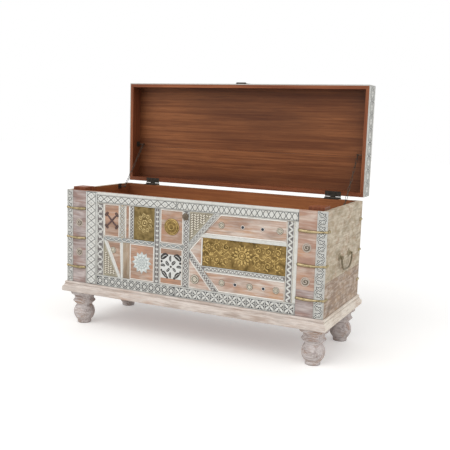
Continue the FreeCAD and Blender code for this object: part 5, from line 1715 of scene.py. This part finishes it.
@dataclass
class FieldPanels:
    """The pinkish panels with their white beads, the carved triangles and the reeded panel."""

    reeds: int = 5
    reed_share: float = 0.86
    reed_rise: float = 1.4
    bead: float = 5.4
    bead_rise: float = 1.1
    edge: float = 2.4
    edge_rise: float = 1.2
    leaf_pitch: Point = (12.0, 8.6)
    leaf: tuple[float, float, float] = (14.0, 6.6, 1.1)
    leaf_lean: float = 38.0
    leaf_cut: float = 1.1

    def framed(self) -> None:
        """The pink panels, each with a thin white bead round it."""
        for node, finish in (("panels_left", ROSE_LEFT), ("panels_right", ROSE_RIGHT)):
            panels = flats(node, FRONT)
            carving = Carving(FRONT, panels[0].level)
            for flat in panels:
                carving.rib(inset(flat.outline, 0.5 * self.bead), self.bead, self.bead_rise, closed=True)
            dress(finish, node)
            mount(carving.piece(f"beads_of_{node}", [BEAD_WHITE]), "box", "carved_wood")

    def reeded(self) -> None:
        """Upright reeds over the narrow panel."""
        (flat,) = flats("panel_reeded", FRONT)
        carving = Carving(FRONT, flat.level)
        wide = (flat.high[0] - flat.low[0]) / self.reeds
        for index in range(self.reeds):
            u = flat.low[0] + wide * (index + 0.5)
            carving.rib([(u, flat.low[1] + 1), (u, flat.high[1] - 1)], self.reed_share * wide, self.reed_rise)
        dress(REEDED_WASH, "panel_reeded")
        mount(carving.piece("reeds", [REEDED_WASH]), "box", "rose_wood")

    def triangles(self) -> None:
        """Columns of leaves that lean in turn over the carved triangles, each leaf clear of their sides."""
        panels = flats("panels_carved", FRONT)
        carving = Carving(FRONT, panels[0].level)
        step_u, step_v = self.leaf_pitch
        for flat in panels:
            carving.groove = 0.0
            carving.rib(inset(flat.outline, 1.6), self.edge, self.edge_rise, closed=True)
            carving.groove = self.leaf_cut
            worked = inset(flat.outline, 2.6)
            for column in range(int((flat.high[0] - flat.low[0]) / step_u)):
                lean = math.radians(180 - self.leaf_lean if column % 2 else self.leaf_lean)
                for row in range(int((flat.high[1] - flat.low[1]) / step_v)):
                    foot = (flat.low[0] + 3.5 + step_u * (column + column % 2), flat.low[1] + step_v * row)
                    if holds(worked, foot, 0.3) and holds(worked, polar(foot, self.leaf[0], lean), 0.3):
                        carving.petal(foot, lean, *self.leaf)
        dress(LEAF_GROUND, "panels_carved")
        mount(carving.piece("leaf_carvings", CREAM_DRESS), "box", "carved_wood")

    def build(self) -> None:
        """Dress and carve the panels."""
        self.framed()
        self.reeded()
        self.triangles()


@dataclass
class EmbossedSheet:
    """A brass sheet beaten from behind over a grid of points, its high lines rubbed bright.

    The sizes are in millimetres: a cell of the grid, the sheet's thickness, how far the CAD plate's raised middle
    stands over its sheet, and the height from which a form is bright.
    """

    node: str
    grid: float = 0.9
    thick: float = 3.2
    stand: float = 1.0
    bright: float = 0.55

    def __post_init__(self) -> None:
        """Lay out the grid over the CAD plate."""
        (left, bottom, deep), (right, top, _) = (FRONT.read(Vector(corner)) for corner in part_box(self.node))
        self.low, self.high, self.level = (left, bottom), (right, top), deep - self.stand
        self.middle = ((left + right) / 2, (bottom + top) / 2)
        columns, rows = round((right - left) / self.grid), round((top - bottom) / self.grid)
        self.u, self.v = np.meshgrid(np.linspace(left, right, columns + 1), np.linspace(bottom, top, rows + 1))
        self.depth = np.zeros_like(self.u)

    def away(self, centre: Point) -> np.ndarray:
        """Distance of each grid point from a centre."""
        return np.hypot(self.u - centre[0], self.v - centre[1])

    def raise_by(self, distance: np.ndarray, reach: float, height: float) -> None:
        """Raise a round-backed form where a distance is under its reach."""
        form = height * np.sqrt(np.clip(1 - (distance / reach) ** 2, 0, 1))
        self.depth = np.maximum(self.depth, form)

    def bead(self, centre: Point, radius: float, height: float) -> None:
        """A round bead."""
        self.raise_by(self.away(centre), radius, height)

    def ring(self, centre: Point, radius: float, width: float, height: float) -> None:
        """A raised ring."""
        self.raise_by(np.abs(self.away(centre) - radius), width / 2, height)

    def leaf(self, centre: Point, angle: float, length: float, width: float, height: float) -> None:
        """A raised leaf with a groove along it.

        Args:
            centre: Its middle.
            angle: Its direction.
            length: Its length.
            width: Its width.
            height: Its height.
        """
        du, dv = self.u - centre[0], self.v - centre[1]
        along = (du * math.cos(angle) + dv * math.sin(angle)) / (length / 2)
        across = (-du * math.sin(angle) + dv * math.cos(angle)) / (width / 2)
        inside = np.clip(1 - along**2, 0, 1)
        form = height * np.sqrt(np.clip(inside**1.4 - across**2, 0, 1))
        form *= 1 - 0.45 * np.exp(-((across / 0.25) ** 2))
        self.depth = np.maximum(self.depth, form)

    def line(self, path: Sequence[Point], width: float, height: float) -> None:
        """A raised line.

        Args:
            path: Its points.
            width: Its width.
            height: Its height.
        """
        nearest = np.full_like(self.u, np.inf)
        for (au, av), (bu, bv) in zip(path, path[1:]):
            run_u, run_v = bu - au, bv - av
            share = ((self.u - au) * run_u + (self.v - av) * run_v) / (run_u**2 + run_v**2)
            share = np.clip(share, 0, 1)
            nearest = np.minimum(nearest, self.away((au + share * run_u, av + share * run_v)))
        self.raise_by(nearest, width / 2, height)

    def rosette(self, centre: Point, radius: float, petals: int, height: float) -> None:
        """Petals round a bead.

        Args:
            centre: Its middle.
            radius: Its reach.
            petals: How many petals.
            height: Height of the petals; the bead is a little higher.
        """
        for angle in angles(petals):
            self.leaf(polar(centre, 0.62 * radius, angle), angle, 0.8 * radius, 2.9 * radius / petals, height)
        self.bead(centre, 0.26 * radius, 1.1 * height)

    def outlined(self, centre: Point, radius: float, petals: int, height: float) -> None:
        """A flower drawn with a raised line only, round a bead.

        Args:
            centre: Its middle.
            radius: Its reach.
            petals: How many petals.
            height: Its height.
        """
        path = []
        for angle in (*angles(petals * 8), FULL_TURN):
            path.append(polar(centre, radius * (0.8 + 0.2 * abs(math.sin(petals * angle / 2))), angle))
        self.line(path, 1.7, height)
        self.bead(centre, 0.28 * radius, height)

    def border(self, width: float, height: float) -> None:
        """A raised line that runs round the sheet at its own width from the edge."""
        room = [self.u - self.low[0], self.high[0] - self.u, self.v - self.low[1], self.high[1] - self.v]
        self.raise_by(np.abs(np.minimum.reduce(room) - width), width / 2, height)

    def piece(self, name: str, ground: Finish, line: Finish) -> bpy.types.Object:
        """The closed sheet, with shallow hammer marks between its forms.

        Args:
            name: Name of the piece.
            ground: Finish of what lies low.
            line: Finish of what stands up and is rubbed.

        Returns:
            The piece.
        """
        rows, columns = self.u.shape
        dimple = 0.1 * np.sin(self.u * 0.55 + 1.3 * np.sin(self.v * 0.3)) * np.sin(self.v * 0.5)
        top = self.level + self.depth + dimple
        edge = np.ones_like(top, dtype=bool)
        edge[1:-1, 1:-1] = False
        top[edge] = self.level - 0.6
        places = [FRONT.place(u, v, h) for u, v, h in zip(self.u.flat, self.v.flat, top.flat)]
        faces, kinds = [], []
        for row in range(rows - 1):
            for column in range(columns - 1):
                corner = row * columns + column
                faces.append((corner, corner + 1, corner + columns + 1, corner + columns))
                kinds.append(int(self.depth[row, column] + self.depth[row + 1, column + 1] > 2 * self.bright))
        number = np.arange(rows * columns).reshape(rows, columns)
        around = np.concatenate([number[0], number[1:, -1], number[-1, -2::-1], number[-2:0:-1, 0]]).tolist()
        base, count = len(places), len(around)
        places += [FRONT.place(self.u.flat[index], self.v.flat[index], self.level - self.thick) for index in around]
        faces += [(around[(s + 1) % count], around[s], base + s, base + (s + 1) % count) for s in range(count)]
        faces.append(tuple(reversed(range(base, base + count))))
        kinds += [0] * (count + 1)
        return mount(new_object(name, places, faces, [ground, line], kinds), "box", "brass", self.node)


@dataclass
class BrassSheets:
    """The tall plate with a wreath, the long plate with scrolls and the round boss."""

    wreath_flowers: int = 9
    wreath_radius: Point = (25.0, 29.0)
    medallion_petals: int = 12
    boss_rings: int = 30
    boss_sides: int = 96

    def tall(self) -> None:
        """A wreath of small outlined flowers round one in the middle."""
        sheet = EmbossedSheet("brass_plate_tall")
        centre = (sheet.middle[0] + 2, sheet.middle[1] + 3)
        sheet.outlined(centre, 11, 7, 1.3)
        for index in range(self.wreath_flowers):
            angle = FULL_TURN * (index + 0.5) / self.wreath_flowers
            reach_u, reach_v = self.wreath_radius
            spot = (centre[0] + reach_u * math.cos(angle), centre[1] + reach_v * math.sin(angle))
            sheet.outlined(spot, 6.6, 5, 1.2)
        sheet.border(2.6, 0.5)
        sheet.piece("tall_brass_sheet", OLIVE_BRASS, OLIVE_LINE)

    def long(self) -> None:
        """A great flower in the middle and leafy scrolls on both sides of it."""
        sheet = EmbossedSheet("brass_plate_long")
        middle = (sheet.middle[0] - 4, sheet.middle[1])
        sheet.bead(middle, 5.0, 2.0)
        for radius, width in ((9.5, 2.4), (17.0, 2.6)):
            sheet.ring(middle, radius, width, 1.5)
        for angle in angles(self.medallion_petals):
            sheet.leaf(polar(middle, 25, angle), angle, 16, 8.5, 1.8)
            between = angle + math.pi / self.medallion_petals
            sheet.leaf(polar(middle, 35, between), between, 12, 6.5, 1.6)
            sheet.bead(polar(middle, 13.2, angle), 1.5, 1.2)
        for sign in (-1, 1):
            for column in range(3):
                for row in (-1, 1):
                    centre = (middle[0] + sign * (62 + 37 * column), middle[1] + row * 25)
                    self.scroll(sheet, centre, 15, sign * row * (1 if column % 2 else -1))
            waves = ((44 + 4.4 * step, 7 * math.sin(step * 0.62)) for step in range(25))
            sheet.line([(middle[0] + sign * reach, middle[1] + rise) for reach, rise in waves], 2.6, 1.3)
            for column in range(4):
                spot = (middle[0] + sign * (46 + 37 * column), middle[1] + (5 if column % 2 else -5))
                sheet.rosette(spot, 8.5, 6, 1.5)
        sheet.border(2.6, 0.6)
        sheet.piece("long_brass_sheet", GOLD_BRASS, GOLD_LINE)

    def scroll(self, sheet: EmbossedSheet, centre: Point, radius: float, sense: int) -> None:
        """A spiral with leaves along its outside.

        Args:
            sheet: Where it is beaten.
            centre: Its middle.
            radius: Its reach without the leaves.
            sense: One winds it counter-clockwise, minus one clockwise.
        """
        start = sense * QUARTER_TURN
        sheet.line(spiral(centre, radius, start, 1.2 * sense, 0.25, 22), 2.4, 1.4)
        sheet.bead(centre, 2.6, 1.5)
        for index in range(6):
            angle = start + sense * 0.9 * index
            sheet.leaf(polar(centre, radius + 2.5, angle), angle + 0.7 * sense, 8.5, 4.4, 1.4)

    def boss(self) -> None:
        """A dome with a crown of six leaves, a ring of beads and a rope rim."""
        (left, bottom, tip), (right, top, foot) = (FRONT.read(Vector(corner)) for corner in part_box("brass_boss"))
        centre, radius = ((left + right) / 2, (bottom + top) / 2), (right - left) / 2
        rise, sides = tip - foot, self.boss_sides
        places = [FRONT.place(*centre, foot + rise * 0.96)]
        for ring in range(1, self.boss_rings + 1):
            share = ring / self.boss_rings
            for angle in angles(sides):
                form = 0.86 * rise * math.sqrt(max(0.0, 1 - (share / 1.02) ** 2)) ** 0.8
                form += 1.1 * math.cos(3 * angle) ** 2 * math.exp(-(((share - 0.45) / 0.2) ** 2))
                form += 0.3 * math.cos(16 * angle) * math.exp(-(((share - 0.72) / 0.08) ** 2))
                form += (0.64 + 0.28 * math.cos(32 * angle)) * math.exp(-(((share - 0.92) / 0.04) ** 2))
                form += 0.5 * math.exp(-((share / 0.12) ** 2))
                h = foot + (0 if ring == self.boss_rings else min(rise, form))
                places.append(FRONT.place(*polar(centre, share * radius, angle), h))
        faces = [(0, 1 + step, 1 + (step + 1) % sides) for step in range(sides)]
        for ring in range(self.boss_rings - 1):
            faces += belt(1 + (ring + 1) * sides, 1 + ring * sides, sides)
        last = 1 + (self.boss_rings - 1) * sides
        faces.append(tuple(reversed(range(last, last + sides))))
        rubbed = {1 + round(share * self.boss_rings) for share in (0.3, 0.33, 0.7, 0.73, 0.9, 0.93)}
        kinds = [1] * sides + [int(2 + index // sides in rubbed) for index in range(len(faces) - sides)]
        finishes = [GOLD_BRASS, GOLD_LINE]
        mount(new_object("round_brass_boss", places, faces, finishes, kinds), "box", "brass", "brass_boss")

    def build(self) -> None:
        """Beat the three sheets."""
        self.tall()
        self.long()
        self.boss()


@dataclass
class Inlays:
    """Star, pierced plate, iron cross, rosettes and ring studs on the panels."""

    star_points: int = 12
    star_waist: float = 0.72
    star_rise: float = 1.2
    plate_rise: float = 1.1
    opening_rise: float = 0.34
    stud_sides: int = 20
    curl: float = 5.0
    openings: tuple[tuple[float, float, float, float, float], ...] = (
        (-0.62, 0.72, 0.72, 0.44, 0.6), (0.62, 0.72, 0.72, 0.44, -0.6), (-0.68, -0.7, 0.62, 0.34, -0.8),
        (0.68, -0.7, 0.62, 0.34, 0.8), (0.0, 0.66, 0.5, 0.2, 1.57), (0.0, -0.7, 0.5, 0.22, 1.57),
        (-0.78, 0.0, 0.44, 0.22, 0.0), (0.78, 0.0, 0.44, 0.22, 0.0), (-0.3, 0.28, 0.44, 0.26, 2.3),
        (0.3, 0.28, 0.44, 0.26, 0.8), (-0.3, -0.26, 0.4, 0.2, -2.3), (0.3, -0.26, 0.4, 0.2, -0.8),
    )
    rounds: tuple[tuple[float, float, float], ...] = (
        (-0.9, 0.36, 0.11), (0.9, 0.36, 0.11), (-0.92, -0.36, 0.1), (0.92, -0.36, 0.1), (-0.34, 0.9, 0.09),
        (0.34, 0.9, 0.09), (-0.34, -0.92, 0.1), (0.34, -0.92, 0.1), (0.0, 0.0, 0.1),
    )

    def base(self, node: str) -> float:
        """The height of the panel that carries a node."""
        return FRONT.read(Vector(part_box(node)[1]))[2]

    def discs(self, node: str) -> list[tuple[Point, float]]:
        """Read the round solids of a node.

        Args:
            node: The CAD node.

        Returns:
            Centre and radius of each.
        """
        found = []
        for solid in solids(node):
            u, v, _ = FRONT.read(solid.centre)
            found.append(((u, v), (solid.high.x - solid.low.x) / 2 / MM))
        return found

    def star(self) -> None:
        """A white star with rings of beads and leaves."""
        ((centre, radius),) = self.discs("star_inlay")
        carving = Carving(FRONT, self.base("star_inlay"))
        outline = []
        for index in range(2 * self.star_points):
            reach = radius * (self.star_waist if index % 2 else 1.0)
            outline.append(polar(centre, reach, QUARTER_TURN + math.pi * index / self.star_points))
        carving.block(outline, self.star_rise, 1.6)
        carving.level, carving.groove = carving.level + self.star_rise, 0.7
        for angle in angles(self.star_points, QUARTER_TURN):
            carving.petal(polar(centre, 0.54 * radius, angle), angle, 0.38 * radius, 4.6, 0.9)
        for share, width in ((0.5, 1.6), (0.3, 1.4)):
            carving.ring(centre, share * radius, width, 0.9)
        for spot in circle(centre, 0.4 * radius, 12):
            carving.dome(spot, 1.7, 0.8, sides=8)
        carving.flower(centre, 0.24 * radius, 6, 0.9)
        mount(carving.piece("carved_star", [STAR_WHITE, STAR_SHADE]), "box", "white_wood", "star_inlay")

    def pierced(self) -> None:
        """A white plate with dark openings: round ones, and leaf-shaped ones with a white vein along each."""
        (flat,) = flats("pierced_plate", FRONT, 2000)
        u, v = flat.centre
        half_u, half_v = (flat.high[0] - flat.low[0]) / 2, (flat.high[1] - flat.low[1]) / 2
        carving = Carving(FRONT, self.base("pierced_plate"))
        scalloped = len(flat.outline) > 8
        carving.block(flat.outline if scalloped else inset(flat.outline, 0.5), self.plate_rise, 0.8)
        carving.level += self.plate_rise
        for across, rise, length, width, turn in self.openings:
            middle = (u + across * half_u, v + rise * half_v)
            long, wide = length * half_u, width * half_u
            path = []
            for share in (step / 4 - 1 for step in range(9)):
                (pu, pv), lift = polar(middle, long / 2 * share, turn), 0.16 * long * (1 - share**2)
                path.append((pu - lift * math.sin(turn), pv + lift * math.cos(turn)))
            shares = [0.25, 0.72, 0.95, 1.0, 1.0, 1.0, 0.95, 0.72, 0.25]
            carving.rib(path, wide, self.opening_rise, swell=shares, kind=Kind.CUT)
            carving.rib(path[1:-1], 0.16 * wide, 0.8, swell=shares[1:-1])
        for across, rise, radius in self.rounds:
            carving.dome((u + across * half_u, v + rise * half_v), radius * half_u, self.opening_rise, Kind.CUT)
        mount(carving.piece("pierced_carving", [PLATE_WHITE, BLACK_CUT]), "box", "white_wood", "pierced_plate")

    def cross(self) -> None:
        """An iron cross with curled ends."""
        ((centre, reach),) = self.discs("iron_cross")
        carving = Carving(FRONT, self.base("iron_cross"))
        for angle in (math.pi / 4 + index * QUARTER_TURN for index in range(4)):
            end = polar(centre, 1.08 * reach, angle)
            carving.rib([centre, polar(centre, 0.54 * reach, angle), end], 7.5, 2.6, swell=[1.0, 0.9, 0.75])
            for side in (-1, 1):
                middle = polar(end, self.curl, angle + side * QUARTER_TURN)
                carving.rib(spiral(middle, self.curl, angle - side * QUARTER_TURN, 0.8 * side, 0.55, 10), 3.8, 2.2)
        carving.dome(centre, 6.0, 2.9)
        mount(carving.piece("forged_cross", [CROSS_IRON]), "box", "iron", "iron_cross")

    def rosettes(self) -> None:
        """Small cream flowers on the field, ringed spirals on the corners."""
        carving = Carving(FRONT, self.base("field_rosettes"))
        for centre, radius in self.discs("field_rosettes"):
            carving.groove = 0.0
            carving.dome(centre, radius, 0.8, sides=24)
            carving.level, carving.groove = carving.level + 0.5, 0.1 * radius
            carving.ring(centre, 0.82 * radius, 0.2 * radius, 1.3)
            carving.flower(centre, 0.6 * radius, 8 if radius > 14 else 5, 1.9, 0.24)
            carving.level -= 0.5
        mount(carving.piece("field_flowers", CREAM_DRESS), "box", "white_wood", "field_rosettes")
        carving = Carving(FRONT, self.base("corner_rosettes"))
        for centre, radius in self.discs("corner_rosettes"):
            carving.groove = 0.0
            carving.dome(centre, radius, 0.8, sides=28)
            carving.dome(centre, 0.84 * radius, 1.0, Kind.CUT, 28)
            carving.ring(centre, 0.88 * radius, 0.16 * radius, 2.0)
            carving.rib(spiral(centre, 0.64 * radius, 0.6, 1.2, 0.24, 20), 0.24 * radius, 2.2)
        mount(carving.piece("corner_flowers", [DULL_RAISED, BROWN_CUT_SHADE]), "box", "white_wood", "corner_rosettes")

    def studs(self) -> None:
        """Dark stones in white rings."""
        carving = Carving(FRONT, self.base("ring_studs"))
        for centre, radius in self.discs("ring_studs"):
            carving.ring(centre, 0.86 * radius, 0.28 * radius, 2.0)
            carving.dome(centre, 0.76 * radius, 2.4, Kind.CUT, self.stud_sides)
        mount(carving.piece("stone_studs", [BEAD_WHITE, DARK_STUD]), "box", "white_wood", "ring_studs")

    def build(self) -> None:
        """Make all inlays."""
        self.star()
        self.pierced()
        self.cross()
        self.rosettes()
        self.studs()


@dataclass
class CornerDress:
    """Corner strips, corner planks and the brass bars round the corners.

    The knuckle of a bar is given as shares of its way back along the side and of its radius.
    """

    bow: float = 2.5
    plump: float = 0.98
    run_steps: int = 14
    bend_steps: int = 5
    dark_foot: float = 0.27
    knuckle: tuple[Point, ...] = ((0.45, 0.85), (0.75, 0.85), (0.84, 1.0), (0.92, 1.0), (1.0, 0.6))

    def strips(self) -> None:
        """Curls down the corner strips, in front and behind."""
        curls = Cut(Motif.SCROLLS, 23, 3.6, groove=1.6)
        carved_node("corner_strips", FRONT, [curls], WHITE_GROUND, WHITE_DRESS, "front_corner_carvings")
        carved_node("corner_strips", BACK, [curls], WHITE_GROUND, WHITE_DRESS, "back_corner_carvings")

    def bar(self, solid: Solid) -> tuple[list[Vector], list[tuple]]:
        """One round bar, a little bowed, with a knuckle at its end on the side.

        Args:
            solid: The CAD bar.

        Returns:
            Points and faces.
        """
        low, high, z = solid.low, solid.high, solid.centre.z
        sign, outward = (1 if solid.centre.x > 0 else -1), (-1 if solid.centre.y < 0 else 1)
        face, deep = (low.y, high.y) if outward < 0 else (high.y, low.y)
        inner, outer = (low.x, high.x) if sign > 0 else (high.x, low.x)
        radius = (high.z - low.z) / 2
        line = face - outward * radius
        start = outer - sign * 2.2 * radius
        path, radii = [], []
        for share in (step / self.run_steps for step in range(self.run_steps + 1)):
            swing = math.sin(math.pi * share)
            x = inner + (start - inner) * share
            path.append(Vector((x, line + outward * 0.15 * radius * swing, z - self.bow * MM * swing)))
            radii.append(radius * (0.62 + 0.38 * math.sin(math.pi * min(1.0, 0.2 + share))) * self.plump)
        for step in range(1, self.bend_steps + 1):
            angle = QUARTER_TURN * step / self.bend_steps
            bend = Vector((math.sin(angle) * sign, outward * (math.cos(angle) - 1), 0)) * 1.2 * radius
            path.append(Vector((start, line, z)) + bend)
            radii.append(radius * 0.9)
        for share, size in self.knuckle:
            path.append(Vector((outer - sign * radius, line + (deep - line) * share, z)))
            radii.append(radius * size)
        return rod(path, radii, 14)

    def build(self) -> None:
        """Dress the corners."""
        self.strips()
        up, lies = (0, 0, 1), Parting.LIES
        right = TwoFinishes("corner plank, dark at its foot", MAUVE_CORNER, ROSE_CORNER, up, self.dark_foot, lies)
        planks = TwoFinishes("corner planks of two trees", MAUVE_CORNER, right, (1, 0, 0), 0.0, lies)
        dress(planks, "corner_planks")
        places, faces = joined(self.bar(solid) for solid in solids("corner_bars"))
        mount(new_object("brass_corner_bars", places, faces, [BAR_BRASS]), "box", "brass", "corner_bars")


@dataclass
class Lid:
    """The framed lid, red-brown inside and washed outside, with carved facings."""

    flowers: Cut = Cut(Motif.MEDALLIONS, 52, 4.0, edge=9.0, groove=1.6)

    def build(self) -> None:
        """Dress the rails and planks and carve the facings."""
        dress(TwoFinishes("lid planks, oiled inside", LID_WASH, RED_PLANK, (0, -1, 0)), "lid_top_planks")
        dress(RED_RAIL, "lid_rail_back", "lid_rail_front")
        dress(RED_UPRIGHT, "lid_rail_left", "lid_rail_right")
        for side, name in ((RIGHT, "right"), (LEFT, "left"), (TOP, "front")):
            carved_node("lid_facings", side, [self.flowers], WHITE_GROUND, WHITE_DRESS, f"lid_{name}_carving", "lid")


@dataclass
class Ironwork:
    """Hinges, hasp, staple, stay chains and drop handles."""

    link_steps: int = 10
    bail_pin: float = 9.0
    bail_rod: float = 3.5
    bail_corner: float = 44.0
    elbow: float = 3.0
    bend_steps: int = 12

    def link(self, solid: Solid) -> tuple[list[Vector], list[tuple]]:
        """One link of a chain as a bent rod.

        Args:
            solid: The CAD link.

        Returns:
            Points and faces.
        """
        (long_way, length), (wide_way, width), (_, thick) = solid.axes()
        bend, straight = (width - thick) / 2, (length - width) / 2
        path = []
        for end in (1, -1):
            for angle in (math.pi * step / self.link_steps for step in range(self.link_steps + 1)):
                along = long_way * end * (straight + bend * math.sin(angle))
                path.append(solid.centre + along + wide_way * end * bend * math.cos(angle))
        return rod(path, [thick / 2] * len(path), 10, closed=True)

    def bail(self, side: str) -> None:
        """The drop handle of one end, bent from one rod.

        Args:
            side: The end, left or right.
        """
        node = f"handle_bail_{side}"
        low, high = (Vector(corner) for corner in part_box(node))
        rod_radius, corner, elbow, x = self.bail_rod * MM, self.bail_corner * MM, self.elbow * MM, (low.x + high.x) / 2
        near, far = low.y + rod_radius, high.y - rod_radius
        top, bottom = high.z - rod_radius, low.z + rod_radius
        path = [Vector((x, near + self.bail_pin * MM, top)), Vector((x, near + elbow, top))]
        path += [Vector((x, near + 0.2 * elbow, top - 0.2 * elbow)), Vector((x, near, top - elbow))]
        for angle in (QUARTER_TURN * step / self.bend_steps for step in range(self.bend_steps + 1)):
            path.append(Vector((x, near + corner * (1 - math.cos(angle)), bottom + corner * (1 - math.sin(angle)))))
        whole = path + [Vector((x, near + far - point.y, point.z)) for point in reversed(path)]
        middle = len(whole) / 2
        radii = [rod_radius * (1 - 0.14 * abs(index - middle) / middle) for index in range(len(whole))]
        places, faces = rod(whole, radii, 14)
        mount(new_object(f"drop_handle_{side}", places, faces, [BAIL_IRON]), f"handle_{side}", "iron", node)

    def build(self) -> None:
        """Dress the fittings and bend the rods."""
        dress(DARK_IRON, "hinge_leaves_box", "hinge_leaves_lid", "hinge_pins", "hasp_plate", "hasp_strap")
        dress(CHAIN_IRON, "stay_studs_box", "stay_studs_lid")
        dress(STAPLE_IRON, "staple")
        dress(LUG_IRON, "handle_lugs")
        for side in ("left", "right"):
            for run in ("lower", "upper"):
                node = f"chain_{run}_{side}"
                places, faces = joined(self.link(solid) for solid in solids(node))
                mount(new_object(f"{node}_links", places, faces, [CHAIN_IRON]), f"stay_{run}_{side}", "iron", node)
            self.bail(side)


def main() -> None:
    """Build the studio and the chest's sub-assemblies in order."""
    logging.basicConfig(level=logging.INFO, format="%(message)s")
    for part in (
        Studio(),
        Carcass(),
        TurnedFeet(),
        FieldBorders(),
        FieldStrips(),
        FieldPanels(),
        BrassSheets(),
        Inlays(),
        CornerDress(),
        Lid(),
        Ironwork(),
    ):
        part.build()
        LOG.info("%s done", type(part).__name__)


if __name__ == "__main__":
    main()
